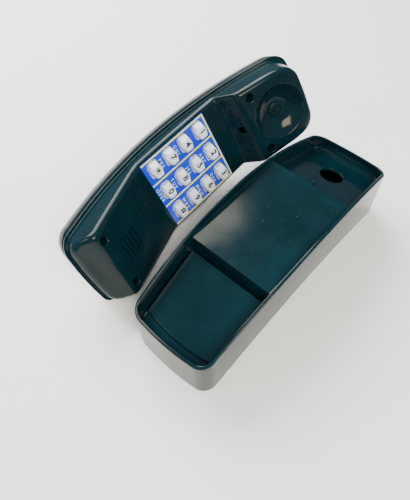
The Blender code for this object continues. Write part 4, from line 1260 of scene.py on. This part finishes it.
def lettering(name: str, text: str, size: float, bold: float, place: Matrix,
              ink: bpy.types.Material, spacing: float = 1.0) -> bpy.types.Object:
    """Printed characters as a flat mesh.

    Args:
        name: the piece's name.
        text: the characters.
        size: the height of a line.
        bold: how far the strokes are swollen.
        place: the middle of the text, in the row frame.
        ink: the material.
        spacing: how widely the characters are set, 1 as usual.

    Returns:
        The piece.
    """
    curve = bpy.data.curves.new(name, "FONT")
    curve.space_character = spacing
    curve.body = text
    curve.size = size
    curve.offset = bold
    curve.align_x = "CENTER"
    curve.align_y = "CENTER"
    curve.resolution_u = 4
    draft = link(name + "_draft", curve)
    bpy.context.view_layer.update()
    graph = bpy.context.evaluated_depsgraph_get()
    mesh = bpy.data.meshes.new_from_object(draft.evaluated_get(graph))
    bpy.data.objects.remove(draft, do_unlink=True)
    points = np.array([v.co for v in mesh.vertices], float).reshape(-1, 3)
    middle = (points.min(0) + points.max(0)) / 2
    mesh.transform(place @ Matrix.Translation((-middle[0], -middle[1], 0.0)))
    mesh.materials.clear()
    mesh.materials.append(ink)
    mesh.name = name
    return link(name, mesh)


@dataclass
class Keypad:
    """The printed film with its lines and letters, and the twelve keys."""

    form: HandsetForm
    finishes: FinishShelf
    line: float = 0.0013          # width of a yellow line
    ink_lift: float = 0.00003
    letter_size: float = 0.0038
    letter_spacing: float = 1.5
    digit_size: float = 0.0072
    letters: dict[str, str] = field(default_factory=lambda: {
        "2": "ABC", "3": "DEF", "4": "GHI", "5": "JKL", "6": "MNO", "7": "PRS", "8": "TUV",
        "9": "WXY", "0": "OPER"})
    digits: dict[str, str] = field(default_factory=lambda: {"hash": "#"})
    star_arm: float = 0.0027
    star_stroke: float = 0.0008
    print_depth: float = 0.00002

    def film(self) -> bpy.types.Object:
        """The blue film with its windows."""
        form = self.form
        half_x, half_y = form.label_width / 2, form.label_end
        sheet = link("keypad_film", to_mesh("keypad_film", soft_box(
            (-half_x, -half_y, -form.label_thickness), (half_x, half_y, 0.0), 0.12 * MM)))
        carve(sheet, form.windows(-5 * MM, 5 * MM), Carve.CUT)
        finish_piece(sheet, self.finishes.blue_film, form.place)
        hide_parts("keypad_label")
        return sheet

    def lines(self) -> bpy.types.Object:
        """The yellow border on three sides and the two lines between the columns."""
        form, half = self.form, self.line / 2
        side, end = form.label_width / 2 - 0.5 * MM - half, form.label_end - 0.5 * MM - half
        top = self.ink_lift
        bars = [((-side - half, end - half), (side + half, end + half)),
                ((-side - half, -end - half), (-side + half, end - half)),
                ((side - half, -end - half), (side + half, end - half))]
        for x in (-form.key_pitch_x / 2, form.key_pitch_x / 2):
            bars.append(((x - half, -end - half), (x + half, end - half)))
        sheets = []
        for (x0, y0), (x1, y1) in bars:
            sheets.append(soft_box((x0, y0, 0.004 * MM), (x1, y1, top), 0.01 * MM))
        piece = link("keypad_lines", to_mesh("keypad_lines", Shape.together(sheets)))
        carve(piece, form.windows(-MM, MM, 0.1 * MM), Carve.CUT)
        return finish_piece(piece, self.finishes.yellow_ink, form.place)

    def key_shape(self) -> Shape:
        """One key: a six-sided cap that narrows upwards, on a skirt and a flange.

        Returns:
            The closed body, its origin on the key's own axis.
        """
        form = self.form
        half_x, half_y, top = form.key_x / 2, form.key_y / 2, form.key_height
        under = -form.label_thickness - 1.9 * MM - form.gap
        grow_x, grow_y = form.key_end_clearance + 0.7 * MM, form.key_side_clearance + 0.7 * MM
        rings = [squircle(half_x + grow_x, half_y + grow_y, under - 1.2 * MM, 3.0),
                 squircle(half_x + grow_x, half_y + grow_y, under, 3.0),
                 self.hexagon(half_x - 0.05 * MM, half_y - 0.05 * MM, under, 0.16),
                 self.hexagon(half_x, half_y, top * 0.34, 0.16),
                 self.hexagon(half_x - 0.04 * MM, half_y - 0.04 * MM, top * 0.46, 0.16, 0.01 * MM),
                 self.hexagon(half_x - 0.18 * MM, half_y - 0.12 * MM, top * 0.54, 0.16, 0.05 * MM)]
        levels = ((1.35, 0.80, 0.86, 0.62), (1.55, 0.95, 0.925, 0.72), (1.85, 1.20, 0.965, 0.82),
                  (2.25, 1.55, 0.99, 0.90), (2.7, 1.9, 1.0, 0.95), (3.6, 2.7, 0.998, 0.9),
                  (4.8, 3.8, 0.99, 0.8))
        for dx, dy, share, shift in levels:
            rings.append(self.hexagon(half_x - dx * MM, half_y - dy * MM, top * share, 0.2,
                                      shift * MM))
        return loft(rings)

    @staticmethod
    def hexagon(half_x: float, half_y: float, height: float, soft: float,
                shift: float = 0.0) -> Ring:
        """A level ring with six softened corners, the outer two halfway along its sides.

        Args:
            half_x: half of its size along X.
            half_y: half of its size along Y.
            height: its level.
            soft: share of each side that its corners take.
            shift: how far it is moved along X.

        Returns:
            36 points.
        """
        end = 0.68 * half_y
        corners = [(half_x, end), (0.0, half_y), (-half_x, end),
                   (-half_x, -end), (0.0, -half_y), (half_x, -end)]
        ring: Ring = []
        for i, corner in enumerate(corners):
            here = Vector(corner)
            start = here.lerp(Vector(corners[i - 1]), soft)
            stop = here.lerp(Vector(corners[(i + 1) % len(corners)]), soft)
            for step in range(6):
                t = step / 5
                point = start.lerp(here, t).lerp(here.lerp(stop, t), t)
                ring.append((point.x + shift, point.y, height))
        return ring

    def star(self, place: Matrix) -> bpy.types.Object:
        """The six-armed star printed on its key.

        Args:
            place: the middle of the star in the row frame.

        Returns:
            The piece.
        """
        arms, half = 6, self.star_stroke / 2
        valley = half / math.sin(math.pi / arms)
        outline = []
        for arm in range(arms):
            turn = Matrix.Rotation(math.tau * arm / arms, 2)
            outline += [turn @ Vector((self.star_arm, -half)), turn @ Vector((self.star_arm, half)),
                        turn @ Matrix.Rotation(math.pi / arms, 2) @ Vector((valley, 0.0))]
        shape = loft([[(x, y, low) for x, y in outline] for low in (0.0, self.print_depth)])
        piece = link("key_star_mark", to_mesh("key_star_mark", shape))
        return finish_piece(piece, self.finishes.black_ink, place)

    def build(self) -> list[bpy.types.Object]:
        """Build and dress the keypad.

        Returns:
            The film, its print, the keys and their digits.
        """
        form, ink = self.form, self.finishes
        pieces = [self.film(), self.lines()]
        for name, x, y in form.key_places():
            if name in self.letters:
                row = max(y - 8.7 * MM, -form.label_end + 1.7 * MM)
                spot = Matrix.Translation((x - 0.3 * MM, row, self.ink_lift))
                pieces.append(lettering(f"keypad_letters_{name}", self.letters[name],
                                        self.letter_size, 0.02 * MM, form.place @ spot,
                                        ink.pale_ink, self.letter_spacing))
        for piece in pieces:
            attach(piece, "handset")
        shape = self.key_shape()
        for name, x, y in form.key_places():
            at_key = form.place @ Matrix.Translation((x, y, 0.0))
            key = link(f"key_{name}_cap", to_mesh(f"key_{name}_cap", shape))
            finish_piece(key, ink.white, at_key, 50.0)
            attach(key, f"key_{name}_button")
            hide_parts(f"key_{name}")
            on_top = at_key @ Matrix.Translation((0.0, 0.0, form.key_height + 0.02 * MM))
            if name == "star":
                mark = self.star(on_top)
            else:
                mark = lettering(f"key_{name}_digit", self.digits.get(name, name),
                                 self.digit_size, 0.24 * MM, on_top, ink.black_ink)
            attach(mark, f"key_{name}_button")
            pieces += [key, mark]
        return pieces


# ------------------------------------------------------------------ screws and inner pieces
@dataclass
class PanScrew:
    """A pan-head screw with a cross recess."""

    length: float
    head_radius: float = 0.0027
    head_height: float = 0.0020
    shank_radius: float = 0.0012

    def build(self, name: str, node: str, body: str, place: Matrix,
              steel: bpy.types.Material) -> bpy.types.Object:
        """Build one screw in place of its CAD node.

        Args:
            name: the piece's name.
            node: the CAD node that it stands for.
            body: the body that it rides on.
            place: the underside of its head in the row frame, Z out of the head.
            steel: the material.

        Returns:
            The piece.
        """
        r, h, s = self.head_radius, self.head_height, self.shank_radius
        outline = [(0.3 * MM, -self.length), (s, -self.length + 1.8 * MM), (s, -0.2 * MM),
                   (s + 0.15 * MM, 0.0), (r - 0.1 * MM, 0.0), (r, 0.1 * MM), (r, h * 0.45),
                   (r - 0.2 * MM, h * 0.72), (r - 0.6 * MM, h * 0.9), (r * 0.55, h * 0.985),
                   (r * 0.2, h)]
        screw = link(name, to_mesh(name, turned(outline, 32)))
        arm = soft_box((-1.6 * MM, -0.28 * MM, h - 0.9 * MM), (1.6 * MM, 0.28 * MM, h + MM),
                       0.1 * MM)
        carve(screw, arm, Carve.CUT)
        carve(screw, arm.placed(Matrix.Rotation(math.pi / 2, 4, "Z")), Carve.CUT)
        finish_piece(screw, steel, place, 30.0)
        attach(screw, body)
        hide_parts(node)
        return screw


def dress_node(node: str, finish: bpy.types.Material, edge: float = 0.25 * MM) -> bpy.types.Object:
    """Give a CAD node its finish and ease its edges, leaving its mesh as it is.

    Args:
        node: the CAD node.
        finish: the material.
        edge: width of the eased edges.

    Returns:
        The node's object.
    """
    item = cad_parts[node]
    item.data.materials.clear()
    item.data.materials.append(finish)
    weld = item.modifiers.new("weld", "WELD")
    weld.merge_threshold = 0.002 * MM
    ease = item.modifiers.new("eased_edges", "BEVEL")
    ease.width = edge
    ease.segments = 2
    ease.limit_method = "ANGLE"
    ease.angle_limit = math.radians(40)
    even = item.modifiers.new("even_normals", "WEIGHTED_NORMAL")
    even.keep_sharp = True
    return item


@dataclass
class Fastenings:
    """All the screws, and the return mat and carrier plate behind the keys."""

    base: CradleBase
    form: HandsetForm
    finishes: FinishShelf
    handset_screw: float = 0.0120          # lengths under the head
    carrier_screw: float = 0.0054
    base_screw: float = 0.0100
    tower_foot: float = 0.0012             # foot of a tower above the parting line
    tower_floor: float = 0.0030            # seat of the head above that foot
    plate_screw_x: float = 0.0210
    plate_screw_y: float = 0.0770
    plate_seat: float = 0.0017             # seat of the head above the underside
    carrier_underside: float = -0.0104     # level of the plate, from the keypad face

    def build(self) -> list[bpy.types.Object]:
        """Build the screws and dress the inner pieces.

        Returns:
            The new pieces.
        """
        steel, form, pieces = self.finishes.steel, self.form, []
        flip = Matrix.Rotation(math.pi, 4, "X")
        long_screw, short_screw = PanScrew(self.handset_screw), PanScrew(self.carrier_screw)
        base_screw = PanScrew(self.base_screw)
        for number, (x, y) in enumerate(form.screw_places(), start=1):
            seat = form.parting(y) + self.tower_foot + self.tower_floor + form.gap
            turn = Matrix.Rotation(math.radians(17 + 31 * number), 4, "Z")
            place = form.place @ Matrix.Translation((x, y, seat)) @ turn
            pieces.append(long_screw.build(f"handset_screw_{number}_pan", f"handset_screw_{number}",
                                           "handset", place, steel))
        for number, (x, y) in enumerate(form.carrier_screw_places(), start=1):
            seat = self.carrier_underside - form.gap
            place = form.place @ Matrix.Translation((x, y, seat)) @ flip
            pieces.append(short_screw.build(f"carrier_screw_{number}_pan", f"carrier_screw_{number}",
                                            "handset", place, steel))
        places = [(sx * self.plate_screw_x, sy * self.plate_screw_y)
                  for sy in (-1, 1) for sx in (-1, 1)]
        for number, (x, y) in enumerate(places, start=1):
            seat = self.base.underside(y) + self.plate_seat - form.gap
            place = self.base.place @ Matrix.Translation((x, y, seat)) @ flip
            pieces.append(base_screw.build(f"base_screw_{number}_pan", f"base_screw_{number}",
                                           "base", place, steel))
        dress_node("key_return_mat", self.finishes.rubber)
        dress_node("key_carrier_plate", self.finishes.natural)
        return pieces


# ------------------------------------------------------------------ studio
@dataclass
class Studio:
    """A plain pale floor, soft light and the camera."""

    base: CradleBase
    azimuth: float = math.radians(-46.7)
    elevation: float = math.radians(57.6)
    roll: float = math.radians(-1.9)
    distance: float = 0.380
    target: tuple[float, float, float] = (-0.0374, -0.0286, 0.020)
    lens: float = 35.64
    floor_half: float = 3.0

    def floor(self) -> bpy.types.Object:
        """The floor, a wide sheet with a fine grid so that it can be textured."""
        count, half = 24, self.floor_half
        marks = np.linspace(-half, half, count + 1)
        corners = [Vector((x, y, 0.0)) for y in marks for x in marks]
        faces = []
        for row in range(count):
            for col in range(count):
                a = row * (count + 1) + col
                faces.append([a, a + 1, a + count + 2, a + count + 1])
        sheet = link("studio_floor", to_mesh("studio_floor", Shape(corners, faces)))
        sheet.data.materials.append(MattBoard("board_painted_pale", "#FAF5EC", "#F6F0E6").make())
        return sheet

    def area_light(self, name: str, spot: Sequence[float], aim: Sequence[float], size: float,
                   power: float, tint: str) -> None:
        """One square soft light.

        Args:
            name: its name.
            spot: where it hangs.
            aim: what it points at.
            size: the length of its side.
            power: in watts.
            tint: its colour.
        """
        data = bpy.data.lights.new(name, "AREA")
        data.shape = "SQUARE"
        data.size = size
        data.energy = power
        data.color = linear(tint)[:3]
        lamp = link(name, data)
        lamp.location = spot
        lamp.rotation_euler = (Vector(aim) - Vector(spot)).to_track_quat("-Z", "Y").to_euler()

    def lights(self) -> None:
        """A large overhead softbox, a side window and a faint fill."""
        self.area_light("softbox_main", (-0.88, 0.24, 0.80), (0.0, 0.0, 0.0), 1.00, 46.0, "#EAF3FF")
        self.area_light("softbox_side", (0.64, -0.34, 0.96), (-0.05, 0.0, 0.05), 0.62, 22.0,
                        "#FFFFFF")
        self.area_light("softbox_front", (-0.42, -0.75, 0.76), (0.0, 0.0, 0.0), 0.24, 2.0,
                        "#FFFFFF")
        world = bpy.data.worlds.new("studio_air")
        world.use_nodes = True
        tree = world.node_tree
        tree.nodes.clear()
        air = add_node(tree, "ShaderNodeBackground", {"Color": linear("#E9E6DF"), "Strength": 0.35})
        add_node(tree, "ShaderNodeOutputWorld", links={"Surface": air.outputs[0]})
        bpy.context.scene.world = world

    def camera(self) -> bpy.types.Object:
        """The camera, a little tilted."""
        el, az = self.elevation, self.azimuth
        back = Vector((math.cos(el) * math.cos(az), math.cos(el) * math.sin(az), math.sin(el)))
        right = (-back).cross(Vector((0.0, 0.0, 1.0))).normalized()
        up = right.cross(-back)
        c, s = math.cos(self.roll), math.sin(self.roll)
        axes = Matrix((c * right + s * up, -s * right + c * up, back)).transposed().to_4x4()
        axes.translation = self.base.place.translation + Vector(self.target) + back * self.distance
        data = bpy.data.cameras.new("camera")
        data.sensor_width = 36.0
        data.lens = self.lens
        data.clip_start = 0.01
        view = link("camera", data)
        view.matrix_world = axes
        bpy.context.scene.camera = view
        return view

    def build(self) -> None:
        """Set up the floor, the lights and the camera."""
        self.floor()
        self.lights()
        self.camera()


def main() -> None:
    """Build the telephone and its studio, reporting each piece."""
    logging.basicConfig(level=logging.INFO, format="%(message)s")
    finishes = FinishShelf()
    base = CradleBase(finishes)
    form = HandsetForm()
    pieces = base.build()
    pieces.append(FrontShell(form, finishes).build())
    pieces.append(BackShell(form, finishes).build())
    pieces += Keypad(form, finishes).build()
    pieces += Fastenings(base, form, finishes).build()
    for piece in pieces:
        log.info("%s: %d faces", piece.name, len(piece.data.polygons))
    Studio(base).build()


if __name__ == "__main__":
    main()
